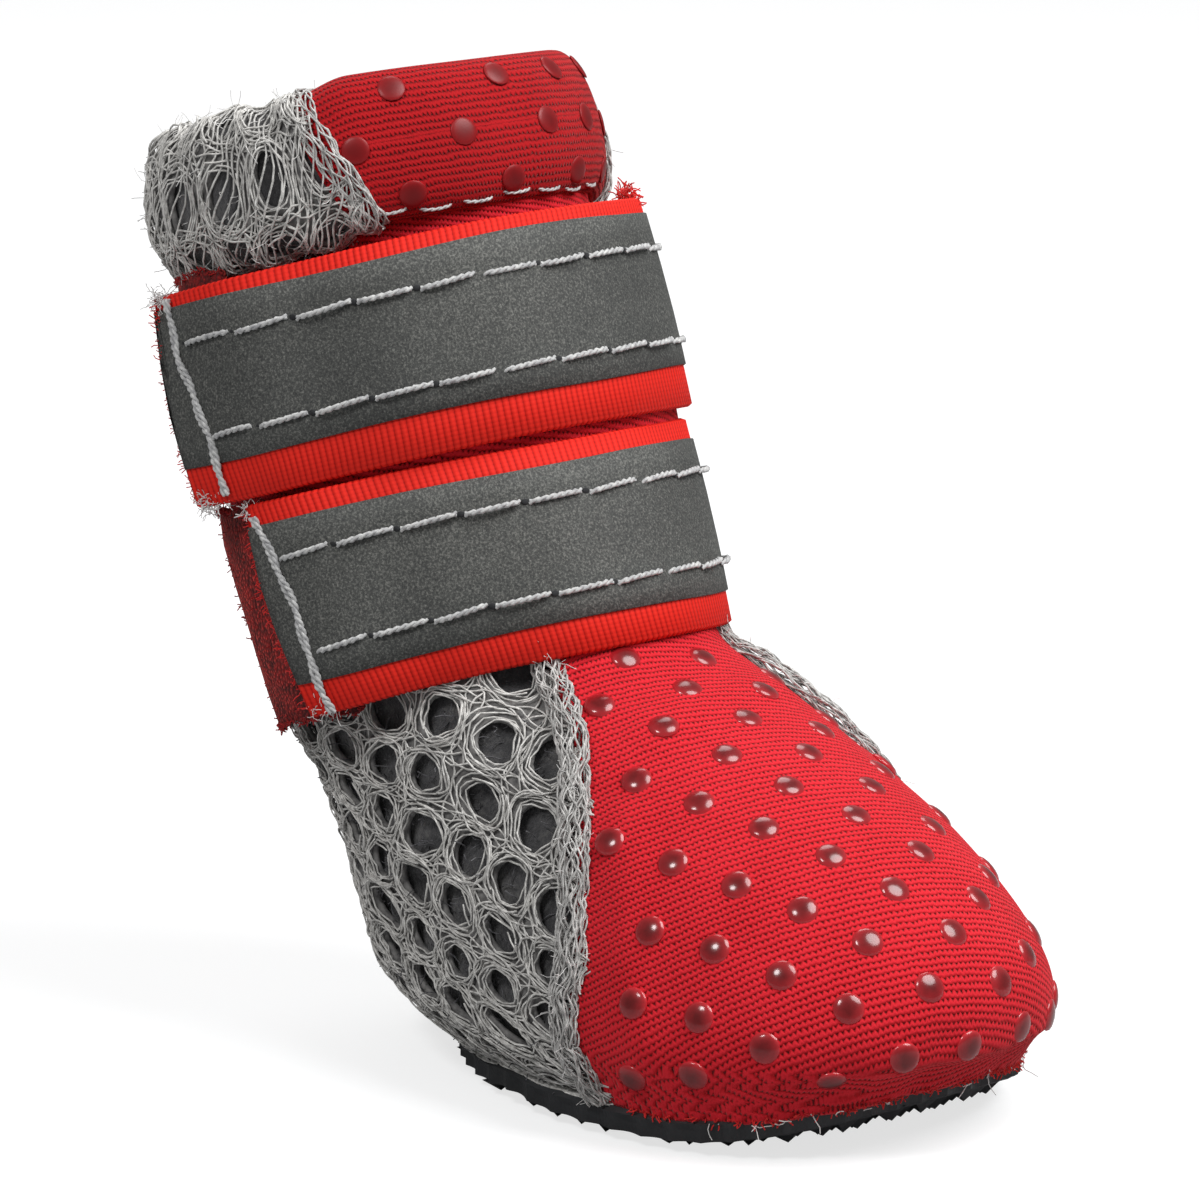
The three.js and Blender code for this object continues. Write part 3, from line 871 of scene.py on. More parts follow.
def make_vamp():
    """The knit front, from seam to seam, up inside the collar roll."""
    bm = pattern(104, 126, (-1, 1), (0, 9.9))

    def place(u, row, _):
        padding = 0.35 * (1 - np.abs(u) ** 6)
        return over_sole(row, vamp_degrees(u, row), padding - TUCK * smooth_step(row, *TUCK_ROWS))

    pull_over(bm, place)
    change_uvs(bm, knit_places)
    vamp = piece("knit_vamp", bm, KNIT, wall=KNIT_THICKNESS)
    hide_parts("upper")


def make_lining():
    """The spacer layer that shows through the mesh and lines the shaft, open down the slit."""
    bm = pattern(90, 70, (-1, 1), (0, 10.6))

    def place(u, row, _):
        sunk = LINING_AT - TUCK * smooth_step(row, *TUCK_ROWS)
        return on_skin(row, u * (180 - slit_degrees(row)), sunk)

    pull_over(bm, place)
    piece("spacer_lining", bm, SPACER, wall=WALL + LINING_AT)


def add_dots(bm, spots, outward, radius, height):
    """Flat drops at spots. Their UVs run from the rim, at a half, up to the top, at one."""
    if not bm.loops.layers.uv:
        bm.loops.layers.uv.new("UVMap")
    for spot, out in zip(spots, outward):
        lie = Vector(out).to_track_quat("Z", "Y").to_matrix().to_4x4()
        shape = Matrix.Diagonal((radius, radius, height, 1))
        bmesh.ops.create_uvsphere(bm, u_segments=14, v_segments=8, radius=1.0, calc_uvs=True,
                                  matrix=Matrix.Translation(Vector(spot)) @ lie @ shape)


def dot_net(points, first, heads, pitch, reach):
    """Indices of points that make a net of equal sides, spread from two crossing lines."""

    def nearest(wanted):
        return int(np.argmin(np.sum((points - wanted) ** 2, axis=1)))

    net = {(0, 0): nearest(first)}
    lines = (((1, 0), heads[0]), ((-1, 0), -heads[0]), ((0, 1), heads[1]), ((0, -1), -heads[1]))
    for step, heading in lines:
        here = net[0, 0]
        for k in range(1, reach + 1):
            there = nearest(points[here] + heading * pitch)
            if np.linalg.norm(points[there] - points[here]) < pitch * 0.75:
                break
            heading = unit(points[there] - points[here])
            here = net[step[0] * k, step[1] * k] = there
    steps = range(1, reach + 1)
    for turn_i, turn_j, i, j in itertools.product((1, -1), (1, -1), steps, steps):
        before_i, before_j = turn_i * (i - 1), turn_j * (j - 1)
        sides = [net.get((turn_i * i, before_j)), net.get((before_i, turn_j * j))]
        corner = net.get((before_i, before_j))
        if None in sides or corner is None:
            continue
        guess = points[sides[0]] + points[sides[1]] - points[corner]
        near = np.linalg.norm(points - guess, axis=1)
        misfit = 0.3 * near + 9 * (near > pitch / 2)
        for side in sides:
            misfit += np.abs(np.linalg.norm(points - points[side], axis=1) - pitch)
        best = int(np.argmin(misfit))
        if misfit[best] < 2.5:
            net[turn_i * i, turn_j * j] = best
    return [net[key] for key in sorted(net, key=lambda key: (abs(key[0]) + abs(key[1]), key))]


def make_vamp_dots():
    """Grip dots printed on the vamp in a square net, which is pulled over the toe with the knit."""
    fine = np.meshgrid(np.linspace(0, 5.6, 230), np.linspace(-100, 100, 320), indexing="ij")
    rows, turns = (part.ravel() for part in fine)
    points = skin_point(rows, turns)
    first = np.array([13.8, -9.6, 29.7])
    heads = unit(np.array([[6.4, 2.8, -2.0], [1.8, -5.1, -3.9]]))
    bm, taken = bmesh.new(), []
    for k in dot_net(points, first, heads, DOT_PITCH, 8):
        row, turn = rows[k], turns[k]
        crowded = any(np.linalg.norm(points[k] - other) < DOT_CROWDED for other in taken)
        if 0.35 < row < 5.0 and abs(turn) < seam_at(row, turn) - 4.5 and not crowded:
            taken.append(points[k])
            add_dots(bm, over_sole(row, turn, 0.2), skin_normal(row, turn), 1.6, 0.55)
    piece("grip_dots_vamp", bm, DOT_GLOSS)


def hem_edge(turn, side):
    """Degrees from the front at which the red hem gives way to mesh, further back at its top."""
    return np.where(np.asarray(side) > 0, 64.5, 52.5) + 6.5 * np.sin(np.radians(turn))


# Degrees round the hem at which its dots lie, for each angle round the roll
HEM_DOTS = {
    -46: (-33.0, -5.0, 19.0, 43.0),
    -2: (-44.5, -16.5, 8.0, 28.0, 50.0),
    42: (-31.5, -1.5, 19.0, 42.0),
}


def make_hem():
    """The red padded hem round the front of the collar, whose knit runs round the roll."""
    bm = pattern(150, 56, (-1, 1), (0, 360))
    pull_over(bm, lambda u, turn, _: on_roll(u * (hem_edge(turn, u) + 3), turn, 0.1))
    turns = np.linspace(0, 360, 121)
    girths = lengths_along(on_roll(0, turns))
    change_uvs(bm, lambda u, turn: np.stack([u * 25.0, np.interp(turn, turns, girths)], axis=1))
    close_up(bm)
    # The hem's darker knit is painted shade.
    hem = piece("knit_hem", bm, KNIT_HEM_SHADED)
    dots = bmesh.new()
    for turn, degrees in HEM_DOTS.items():
        degrees = np.array(degrees)
        spots = on_roll(degrees, np.full(len(degrees), float(turn)), 0.15)
        _, upward, outward = roll_frame(degrees)
        bend = math.radians(turn)
        out = unit(outward * math.cos(bend) / ROLL_DEEP + upward * math.sin(bend) / ROLL_TALL)
        add_dots(dots, spots, out, 1.45, 0.24)
    piece("grip_dots_hem", dots, DOT_MATT)


def make_hem_stitches():
    """White stitches in the groove under the red hem."""
    lines, pitch = [], 4.6
    degrees = np.linspace(-46, 46, 900)
    path = on_roll(degrees, -66, 0.0)
    along = lengths_along(path)
    for start in np.arange(0.6, along[-1] - 4, pitch):
        share = np.linspace(0, 1, 12)
        turn = np.interp(start + share * 3.7, along, degrees)
        arch = 0.5 * np.sin(share * math.pi) ** 0.5 - 0.2
        line = on_roll(turn, -66 + 4 * math.sin(start), arch)
        lines += plied(line, skin_normal(9.2, turn), 0.1, 1.5)
    yarn("hem_stitches", lines, 0.24, SEWING_THREAD, sides=1)


# ---- Air mesh ----

HOLE_PITCH = 6.2
HOLE_RADIUS = 2.25
BORDER_SHRINK = 0.9  # how far subdivision draws an eight-sided hole in


def open_mesh(name, place, size, inside, rng, mirrored, wander=0.25):
    """A mesh cloth with round holes over size (across, up) millimetres, kept where inside says.

    Returns the middle and radius of each hole, and how many columns and rows of them there are.
    """
    columns, rows = (math.ceil(extent / HOLE_PITCH) for extent in size)
    bm = pattern(4 * columns, 4 * rows, (0, columns * HOLE_PITCH), (0, rows * HOLE_PITCH))
    cell = lambda value: abs(value / HOLE_PITCH % 1 - 0.5)
    middles = [f for f in bm.faces if all(cell(c) < 0.25 for c in f.calc_center_median().xy)]
    bmesh.ops.delete(bm, geom=middles, context="FACES")
    centres = {}
    for i in range(columns):
        for j in range(rows):
            middle = np.array([i + 0.5, j + 0.5]) * HOLE_PITCH + rng.normal(scale=wander, size=2)
            centres[i, j] = (middle, HOLE_RADIUS * rng.uniform(0.86, 1.08))
    for vert in bm.verts:
        if all(cell(c) < 0.26 for c in vert.co.xy):
            i, j = (int(c // HOLE_PITCH) for c in vert.co.xy)
            out = unit(np.array(vert.co.xy) - np.array([i + 0.5, j + 0.5]) * HOLE_PITCH)
            vert.co.xy = centres[i, j][0] + out * centres[i, j][1] / BORDER_SHRINK
    centre_of = np.array([f.calc_center_median().xy for f in bm.faces])
    outside = [f for f, kept in zip(list(bm.faces), inside(*centre_of.T)) if not kept]
    bmesh.ops.delete(bm, geom=outside, context="FACES")
    pull_over(bm, place)
    if mirrored:
        bmesh.ops.reverse_faces(bm, faces=bm.faces)
    piece(name, bm, MESH_BODY, wall=MESH_THICKNESS, smooth_levels=1)
    return list(centres.values()), columns, rows


def ring(centre, reach, turn, lift):
    """A line round a hole's middle in the flat pattern."""
    across, along = centre[0] + reach * np.cos(turn), centre[1] + reach * np.sin(turn)
    return np.stack([across, along, lift], axis=1)


def mesh_yarns(rng, holes, columns, rows):
    """The yarns of the mesh in its flat pattern: loops round each hole, and bundles between them."""
    lines = []
    turn = np.linspace(0, 2 * math.pi, 16)
    for centre, radius in holes:
        for k in range(3):
            phase = rng.uniform(0, 6.28, size=3)
            waves = 0.17 * np.sin(3 * turn + phase[0]) + 0.1 * np.sin(5 * turn + phase[1])
            reach = radius + 0.05 + 0.34 * k + waves
            if k == 2:
                reach = reach + 0.25 * np.abs(np.sin(2 * turn))
            lines.append(ring(centre, reach, turn, 0.2 + 0.2 * np.sin(4 * turn + phase[2]) + 0.06 * k))
    for along, across, crosswise, strands in ((columns, rows, False, 4), (rows, columns, True, 3)):
        travel = np.arange(0, along * HOLE_PITCH, 0.75)
        wide = 0.5 + 0.5 * np.cos(2 * math.pi * travel / HOLE_PITCH)
        for line, k in itertools.product(range(across + 1), range(strands)):
            phase = rng.uniform(0, 6.28, size=3)
            beat = np.cos(math.pi * travel / HOLE_PITCH + k * 1.6 + phase[0] * 0.15)
            swing = (0.3 + 0.75 * wide) * beat
            offset = line * HOLE_PITCH + swing + 0.12 * np.sin(2.3 * travel + phase[1])
            lift = 0.22 + 0.16 * np.sin(1.7 * travel + phase[2]) + 0.05 * k
            pair = (offset, travel) if crosswise else (travel, offset)
            lines.append(np.stack([*pair, lift], axis=1))
    for centre, radius in holes:
        for _ in range(5):
            start = rng.uniform(0, 2 * math.pi)
            gone = np.linspace(0, rng.uniform(0.8, 1.9), 7)
            reach = radius + rng.uniform(0.1, 1.3)
            reach = reach + rng.uniform(-0.9, 0.9) * np.sin(gone * rng.uniform(1.0, 2.5))
            reach = np.maximum(reach, radius - 0.25)
            lines.append(ring(centre, reach, start + gone, 0.35 + 0.3 * np.sin(gone * 2)))
    return lines


def lay_lines(lines, inside, place):
    """Cuts flat lines to the part that is inside and places them on the boot."""
    laid = []
    for line in lines:
        for run in runs(line, inside(*line.T[:2])):
            laid.append(place(*run.T))
    return laid


QUARTER_TOP = 47.0
CLOTH_TURN = math.radians(20)  # the rows of holes run down towards the toe
CLOTH_BACK = 17.0
CLOTH_SIZE = (93.0, 72.0)


def quarter_inside(side, overlap):
    """Whether flat points lie between the vamp's seam and the slit, or past it by an overlap."""

    def inside(round_back, up):
        row = quarter_row(up)
        ahead = 180 - quarter_turn(row, round_back) > seam_at(row, side) - 1
        return ahead & (round_back > slit_half(row) - overlap) & (up < QUARTER_TOP)

    return inside


def cut_from_cloth(across, along):
    """Where a place in the cloth lies once the cloth is turned: round from the back and up."""
    away = across - CLOTH_BACK
    lean, stand = math.sin(CLOTH_TURN), math.cos(CLOTH_TURN)
    return away * stand + along * lean, along * stand - away * lean


def strew(rng, size, count, height, inside, place):
    """Places strewn over a flat cloth and kept where inside says, and which way is out at each."""
    across, up = rng.uniform(0, size[0], count), rng.uniform(0, size[1], count)
    spots = np.stack([across, up, np.full(count, height)])
    spots = spots[:, inside(*spots[:2])]
    roots = place(*spots)
    lifted = place(spots[0], spots[1], spots[2] + 1.0)
    return roots, unit(lifted - roots)


def make_quarters():
    for side, name in ((1, "left"), (-1, "right")):
        rng = np.random.default_rng(20 + side)
        overlap, lip = (0.0, 0.0) if side > 0 else (0.4, 0.9)
        inside, base = quarter_inside(side, overlap), on_quarter(side)

        def kept(across, along, inside=inside):
            return inside(*cut_from_cloth(across, along))

        def place(across, along, height, base=base, lip=lip):
            round_back, up = cut_from_cloth(across, along)
            ripple = 0.5 * np.sin(up * 0.23 + 0.8) + 0.35 * np.sin(round_back * 0.31)
            over = lip * np.exp(-((round_back / 4) ** 2))
            return base(round_back + 0.35 * np.sin(up * 0.5), up + ripple, height + over)

        mesh = open_mesh(f"air_mesh_{name}", place, CLOTH_SIZE, kept, rng, side > 0)
        lines = mesh_yarns(rng, *mesh)
        yarn(f"mesh_yarns_{name}", lay_lines(lines, kept, place), 0.21, MESH_YARN)
        roots, out = strew(rng, CLOTH_SIZE, 2700, -0.9, kept, place)
        fluff = fibres(rng, roots, out, (1.0, 2.6), lie=0.95)
        yarn(f"hole_fluff_{name}", fluff, 0.11, SPACER_FLUFF)


def make_seam_edges():
    """The rolled edges where the mesh meets the vamp and the sole: bundles of parallel yarns."""
    for side, name in ((1, "left"), (-1, "right")):
        rng = np.random.default_rng(40 + side)
        rows = np.linspace(0.0, 5.25, 100)
        degrees = side * (seam_at(np.minimum(rows, 5.1), side) + 1.8)
        rise = 0.4 + 0.5 * smooth_step(rows, 2.4, 4.2) - 1.1 * smooth_step(rows, 4.7, 5.15)
        path, out = on_skin(rows, degrees, rise), skin_normal(rows, degrees)
        lines = bundle(rng, path, out, strands=26, wide=1.4, tall=0.9)
        turns = side * np.linspace(80, 180, 120)
        foot = on_skin(0.22, turns, 0.1)
        foot_out = skin_normal(0.22, turns)
        lines += bundle(rng, foot, foot_out, strands=8, wide=0.8, tall=0.4)
        yarn(f"edge_yarns_{name}", lines, 0.21, EDGE_YARN)
        pick = rng.integers(0, len(path), 260)
        roots = path[pick] + rng.normal(scale=0.5, size=(len(pick), 3))
        hairs = fibres(rng, roots, out[pick], (0.8, 2.4), lie=0.7)
        yarn(f"edge_fuzz_{name}", hairs, 0.06, PALE_FIBRE)


def bundle(rng, path, outward, strands, wide, tall):
    """Strands that run side by side along a path over a rounded bundle, wandering a little."""
    tangent = unit(np.gradient(path, axis=0))
    side = unit(np.cross(tangent, outward))
    along = lengths_along(path)
    lines = []
    for k in range(strands):
        swing = 0.34 * np.sin(along * rng.uniform(0.6, 1.5) + rng.uniform(0, 6.28))
        angle = math.pi * (1.5 * (k + 0.5) / strands - 0.25) + swing
        reach = 1 + 0.2 * np.sin(along * rng.uniform(0.9, 2.6) + rng.uniform(0, 6.28))
        across = np.cos(angle) * wide * reach + 0.2 * np.sin(along * 0.35)
        up = np.sin(angle) * tall * reach
        lines.append(path + (across[:, None] * side + up[:, None] * outward))
    return lines


ROLL_GIRTH = 2 * (ROLL_TALL + ROLL_DEEP) * 1.62  # length round the roll's section


def roll_turn(up):
    """The angle round the roll at so many millimetres up the collar's mesh."""
    return ROLL_START + up / ROLL_GIRTH * 360


def slanting_yarns():
    """Yarns that run slantwise across the collar's mesh in its flat pattern."""
    lines, up = [], np.arange(0, ROLL_GIRTH, 0.9)
    for start in np.arange(-14, 66, 1.1):
        across = start + up * 0.45 + 0.5 * np.sin(up + start)
        lift = 0.4 + 0.2 * np.sin(up * 1.3 + start)
        lines.append(np.stack([across, up, lift], axis=1)[across > 0])
    return [line for line in lines if len(line) > 3]


def make_mesh_collar():
    """The mesh roll round the sides and back of the collar, with a notch at the back."""
    for side, name in ((1, "left"), (-1, "right")):
        rng = np.random.default_rng(60 + side)

        def core_place(u, turn, _, side=side):
            degrees = COLLAR_BACK - 0.2 - u * (180 - hem_edge(turn, side) - 2)
            return on_roll(side * degrees, turn, -0.75)

        def inside(round_back, up, side=side):
            ahead = COLLAR_BACK - round_back * COLLAR_DEGREES > hem_edge(roll_turn(up), side) - 3
            return ahead & (up < ROLL_GIRTH)

        def place(round_back, up, height, side=side):
            squeeze = 1.3 * np.sin(up * 0.42 + round_back * 0.2)
            degrees = COLLAR_BACK - (round_back + 0.35 * squeeze) * COLLAR_DEGREES
            lumps = 0.35 * np.sin(round_back * 0.9 + up * 0.5)
            lumps = lumps + 0.25 * np.sin(round_back * 0.43 - up * 0.31)
            return on_roll(side * degrees, roll_turn(up), height + lumps)

        core = pattern(90, 40, (0, 1), (0, 360))
        pull_over(core, core_place)
        close_up(core)
        piece(f"collar_core_{name}", core, SPACER)
        size = (66, ROLL_GIRTH)
        mesh = open_mesh(f"collar_mesh_{name}", place, size, inside, rng, side > 0, wander=0.55)
        lines = mesh_yarns(rng, *mesh) + slanting_yarns()
        yarn(f"collar_yarns_{name}", lay_lines(lines, inside, place), 0.22, MESH_YARN)
        roots, out = strew(rng, (64, ROLL_GIRTH), 850, 0.2, inside, place)
        fuzz = fibres(rng, roots, out, (0.8, 2.6), lie=0.85)
        yarn(f"collar_fuzz_{name}", fuzz, 0.07, PALE_FIBRE)
        turns = np.linspace(ROLL_START, 200, 84)
        edge = side * (hem_edge(turns, side) - 1.5)
        path = on_roll(edge, turns, 0.25)
        out = unit(on_roll(edge, turns, 1.5) - path)
        strands = bundle(rng, path, out, strands=16, wide=1.2, tall=0.5)
        yarn(f"collar_edge_{name}", strands, 0.22, EDGE_YARN)


# ---- Straps ----


class Band:
    """A flat band round the skin.

    Places are millimetres along it from its start, up from its lower edge and out.
    """

    def __init__(self, row, start, end, width, lift, drop=(0.0, 1.0), slant=0.0, flare=0.0):
        self.width, self.drop, self.slant, self.flare = width, drop, slant, flare
        stations = np.arange(start, end + 1.5, 3.0)
        stations[-1] = end
        lines = [self.line_up(row, d, width, lift(d)) for d in stations]
        self.bottom, self.top, self.out = (np.array(part) for part in zip(*lines))
        self.along = lengths_along((self.bottom + self.top) / 2)
        self.length = float(self.along[-1])

    @staticmethod
    def line_up(row, degrees, width, stand):
        """A straight line up the skin, whose lower end stands off wherever the skin bulges past it."""
        rows = np.arange(row, min(row + 3.4, TOP_ROW), 0.02)
        up = lengths_along(skin_point(rows, degrees))
        heights = (STRAP_WIDTH - width) / 2 + np.linspace(0, width, 7)
        picked = np.interp(heights, up, rows)
        skin = skin_point(picked, degrees) + skin_normal(picked, degrees) * stand
        out = skin_normal(picked[3], degrees)[0]
        shares = np.linspace(0, 1, 7)[:, None]
        chord = skin[0] * (1 - shares) + skin[-1] * shares
        push = max(0.0, float(np.max(((skin - chord) @ out)[:-1] / (1 - shares[:-1, 0]))))
        return skin[0] + out * push, skin[-1], out

    def place(self, along, up, height):
        from_ends = (along, self.length - along)
        near_start, near_end = (np.clip(1 - gone / LOOSE_END, 0, 1) ** 2 for gone in from_ends)
        bow = 0.25 * np.sin(math.pi * np.clip(up / self.width, 0, 1))
        bow = bow + self.flare * (near_start + 0.4 * near_end)
        leaning = along + self.slant * (1 - 2 * up / self.width) * np.exp(-((along / 12) ** 2))
        station = np.interp(leaning, self.along, np.arange(len(self.along)))
        bottom, top, out = (through(part, station) for part in (self.bottom, self.top, self.out))
        dropped = self.drop[0] * (1 - smooth_step(along, 0, self.drop[1]))
        share = ((up - dropped) / self.width)[:, None]
        return bottom * (1 - share) + top * share + unit(out) * (height + bow)[:, None]

    def outward(self, along):
        station = np.interp(along, self.along, np.arange(len(self.along)))
        return unit(through(self.out, station))


def strap_lift(tab_from, tab_to):
    over = GAP + PILE_THICKNESS + GAP

    def lift(degrees):
        near_start = 1 - smooth_step(degrees, tab_to, tab_to + STRAP_RAMP)
        near_end = smooth_step(degrees, tab_from + 360 - STRAP_RAMP, tab_from + 360)
        return GAP + (over - GAP) * max(near_start, near_end)

    return lift


def ribbon(band, span, up, height, thick, columns, ripple, edge=0.25):
    """A closed ribbon on a band, between two places along it and two heights up it, out by height.

    ripple gives how far each of its places is shifted along, up and out.
    """
    low, high = up
    mid, fold = (low + high) / 2, (high - low) * 0.15
    section = np.array([
        (low + edge, 0), (mid, 0), (high - edge, 0), (high, thick * 0.5), (high - edge, thick),
        (high - fold, thick), (mid + fold, thick), (mid - fold, thick), (low + fold, thick),
        (low + edge, thick), (low, thick * 0.5), (low + edge, 0),
    ])
    steps = np.arange(len(section))
    bm = pattern(columns, len(section) - 1, span, (0, len(section) - 1))

    def on_section(step):
        return (np.interp(step, steps, part) for part in section.T)

    def place(along, step, _):
        rise, out = on_section(step)
        along_shift, rise_shift, out_shift = ripple(along, rise, out)
        return band.place(along + along_shift, rise + rise_shift, height + (out + out_shift))

    change_uvs(bm, lambda along, step: np.stack([along, next(on_section(step))], axis=1))
    pull_over(bm, place)
    close_up(bm)
    return bm


def stitch_row(band, up, start, end, height, rng):
    """Plied stitches along a band and the needle holes between them."""
    lines, holes = [], []
    place = start
    while place + STITCH_LONG < end:
        share = np.linspace(0, 1, 14)
        tilt, sag = rng.uniform(0.04, 0.24), rng.uniform(-0.1, 0.1)
        along = place + share * (STITCH_LONG + rng.uniform(-0.25, 0.25))
        rise = up + tilt * (share - 0.5) * 2 + sag * np.sin(share * math.pi)
        out = height - 0.12 + 0.42 * np.minimum(1, np.minimum(share, 1 - share) * 7)
        lines += plied(band.place(along, rise, out), band.outward(along), 0.16, 1.7)
        holes.append((place - STITCH_GAP / 2, up))
        place += STITCH_LONG + STITCH_GAP
    return lines, holes


def strap_stitches(rng, band, row, edges, rows_in, end_row, on_top):
    """The stitches along both edges of a strap's tape and across its ends, and their holes."""
    lines, holes = [], []
    for up in (edges[0] + rows_in[0], edges[1] - rows_in[1]):
        more, pricked = stitch_row(band, up, end_row + 0.7, band.length - 3.8, on_top, rng)
        lines += more
        holes += pricked
    for end_at in (end_row, band.length - 3.2):
        share = np.linspace(-0.16, 1.02, 80)
        rise = share * (TAPE_WIDTH + 1.2) + edges[0] - 0.6
        for sign in (-1, 1):
            wave = 0.24 * np.sin(share * 13 + (1.6 + sign) * 1.4) + 0.45 * np.sin(share * 5 + row)
            out = on_top + 0.22 + 0.12 * np.cos(share * 19 * sign)
            at = end_at + wave
            lines += plied(band.place(at, rise, out), band.outward(at), 0.15, 1.6)
    return lines, holes


def needle_holes(band, holes, height):
    """Dark dimples at places along and up a band."""
    bm = bmesh.new()
    for along, up in np.array(holes)[:, :, None]:
        spot = band.place(along, up, np.array([height]))[0]
        lie = Vector(band.outward(along)[0]).to_track_quat("Z", "Y").to_matrix().to_4x4()
        place = Matrix.Translation(Vector(spot)) @ lie @ Matrix.Diagonal((0.46, 0.34, 0.12, 1))
        bmesh.ops.create_uvsphere(bm, u_segments=8, v_segments=4, radius=1.0, matrix=place)
    return bm


def strap_fray(rng, band, thick, count=190):
    """Short ends of the webbing's yarns at its two cut ends."""
    hairs = []
    for end_at, heading in ((0.1, -1), (band.length - 0.1, 1)):
        rise = rng.uniform(0.2, STRAP_WIDTH - 0.2, count)
        at, flat = np.full(count, end_at), np.zeros(count)
        roots = band.place(at, rise, rng.uniform(0.1, thick, count))
        beyond = unit(band.place(at, rise, flat) - band.place(at - 2.0 * heading, rise, flat))
        hairs += fibres(rng, roots, beyond, (0.4, 1.3), lie=0.35)
    return hairs


def strap_fluff(rng, band, count):
    """Pale threads that come loose at the four corners of a strap."""
    threads = []
    for end_at, inward in ((0.4, 1), (band.length - 0.4, -1)):
        for edge in (0.0, STRAP_WIDTH):
            at = end_at + inward * np.abs(rng.normal(scale=1.4, size=count))
            rise = edge + rng.normal(scale=0.45, size=count)
            roots = band.place(at, rise, rng.uniform(0.2, 1.2, count))
            out = np.repeat(band.outward(end_at), count, axis=0)
            threads += fibres(rng, roots, out, (0.6, 1.9), lie=0.95, joints=6)
    return threads


def make_strap(name, row, start, end, tab_from, tab_to, drop, slant, flare, tape_at, rows_in,
               end_row, loose_threads, **_):
    """One strap: webbing, the tape sewn along it, its stitches and the fray at its ends."""
    rng = np.random.default_rng(len(name) * 7 + int(row * 10))
    band = Band(row, start, end, STRAP_WIDTH, strap_lift(tab_from, tab_to), drop, slant, flare)
    webbing_thick = STRAP_THICKNESS - TAPE_THICKNESS - 0.1
    on_top = webbing_thick + TAPE_THICKNESS + 0.12

    def bend(along):
        return 0.18 * np.sin(along * 0.21) + 0.1 * np.sin(along * 0.53 + row)

    def ribs(along, rise, out):
        beat = np.abs(np.sin(math.pi * along / RIB_PITCH)) - 0.5
        on_edge = (rise < 0) | (rise > STRAP_WIDTH)
        outwards = np.where(rise < STRAP_WIDTH / 2, -1, 1) * on_edge
        return 0, 0.05 * beat * outwards, bend(along) + 0.02 * beat * (out > 0.1)

    def sway(along, rise, out):
        return 0, 0.12 * np.sin(along * 0.17 + rise), bend(along)

    edges = (-STRAP_EASE, STRAP_WIDTH + STRAP_EASE)
    columns = int(band.length / RIB_PITCH * 4)
    web = ribbon(band, (0, band.length), edges, 0, webbing_thick, columns, ribs)
    webbing = piece(f"strap_webbing_{name}", web, WEBBING)
    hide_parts(f"strap_{name}")

    span, edges = (0.25, band.length - 0.25), (tape_at, tape_at + TAPE_WIDTH)
    columns = int(band.length / 1.2)
    tape = ribbon(band, span, edges, webbing_thick, TAPE_THICKNESS, columns, sway, edge=0.06)
    piece(f"strap_tape_{name}", tape, TAPE)

    lines, holes = strap_stitches(rng, band, row, edges, rows_in, end_row, on_top)
    yarn(f"strap_stitches_{name}", lines, 0.36, SEWING_THREAD, sides=1)
    piece(f"needle_holes_{name}", needle_holes(band, holes, on_top - 0.1), NEEDLE_HOLE)
    yarn(f"strap_fray_{name}", strap_fray(rng, band, webbing_thick), 0.11, RED_FIBRE)
    fluff = strap_fluff(rng, band, loose_threads)
    yarn(f"strap_fluff_{name}", fluff, 0.08, PALE_FIBRE)


def make_pile_tab(name, row, tab_from, tab_to, nap_from, nap_to, hug, **_):
    """The loop pile tab under a strap's ends."""
    rng = np.random.default_rng(90 + int(row))
    band = Band(row, tab_from, tab_to, PILE_WIDTH, lambda degrees: GAP)

    def draw_in(along, rise):
        """How far the tab's lower edge lies in against the leg, behind where it is stitched."""
        behind = np.exp(-(((along - 18) / 12) ** 2))
        return hug * behind * np.clip(1 - rise / PILE_WIDTH, 0, 1.1) ** 1.5

    def nap(along, rise, out):
        drawn = draw_in(along, rise)
        uneven = 0.25 * np.sin(along * 1.1) + 0.15 * np.sin(along * 2.7) - 0.45 * drawn
        return 0, uneven, 0.1 * np.sin(along * 0.8 + rise) - drawn

    edges, columns = (nap_from, nap_to), int(band.length / 0.8)
    bm = ribbon(band, (0, band.length), edges, 0, PILE_THICKNESS * 0.8, columns, nap)
    tab = piece(f"pile_tab_{name}_nap", bm, PILE)
    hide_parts(f"pile_tab_{name}")
    count, at_edges, at_ends = 1700, 850, 260
    along = rng.uniform(0, band.length, count)
    rise = rng.uniform(*edges, count)
    rise[:at_edges] = np.where(rng.random(at_edges) < 0.5, *edges)
    ends = slice(at_edges, at_edges + at_ends)
    along[ends] = np.where(rng.random(at_ends) < 0.5, 0.0, band.length)
    _, uneven, sunk = nap(along, rise, 0)
    roots = band.place(along, rise + uneven, PILE_THICKNESS * 0.7 + sunk)
    loops = fibres(rng, roots, band.outward(along), (0.3, 0.7), lie=0.75, joints=3)
    yarn(f"pile_loops_{name}", loops, 0.12, PILE_FIBRE)


# ---- Loose fibres ----


def make_toe_fray():
    """The cut edge of the knit above the sole: short red ends, and a few white threads."""
    rng = np.random.default_rng(7)
    count = 260
    degrees = rng.uniform(-76, 76, count)
    rows = rng.uniform(0.0, 0.12, count)
    roots = over_sole(rows, degrees, 0.25)
    down = np.array([0, 0, -1.0])
    out = unit(skin_normal(rows, degrees) + down * 0.9)
    yarn("toe_fray", fibres(rng, roots, out, (0.4, 1.1), lie=0.35), 0.14, RED_FIBRE)
    degrees = rng.uniform(-70, 70, 26)
    roots = over_sole(0.05, degrees, 0.7)
    threads = fibres(rng, roots, skin_normal(0.05, degrees), (0.9, 2.4), lie=0.8)
    yarn("toe_loose_threads", threads, 0.11, PALE_FIBRE)


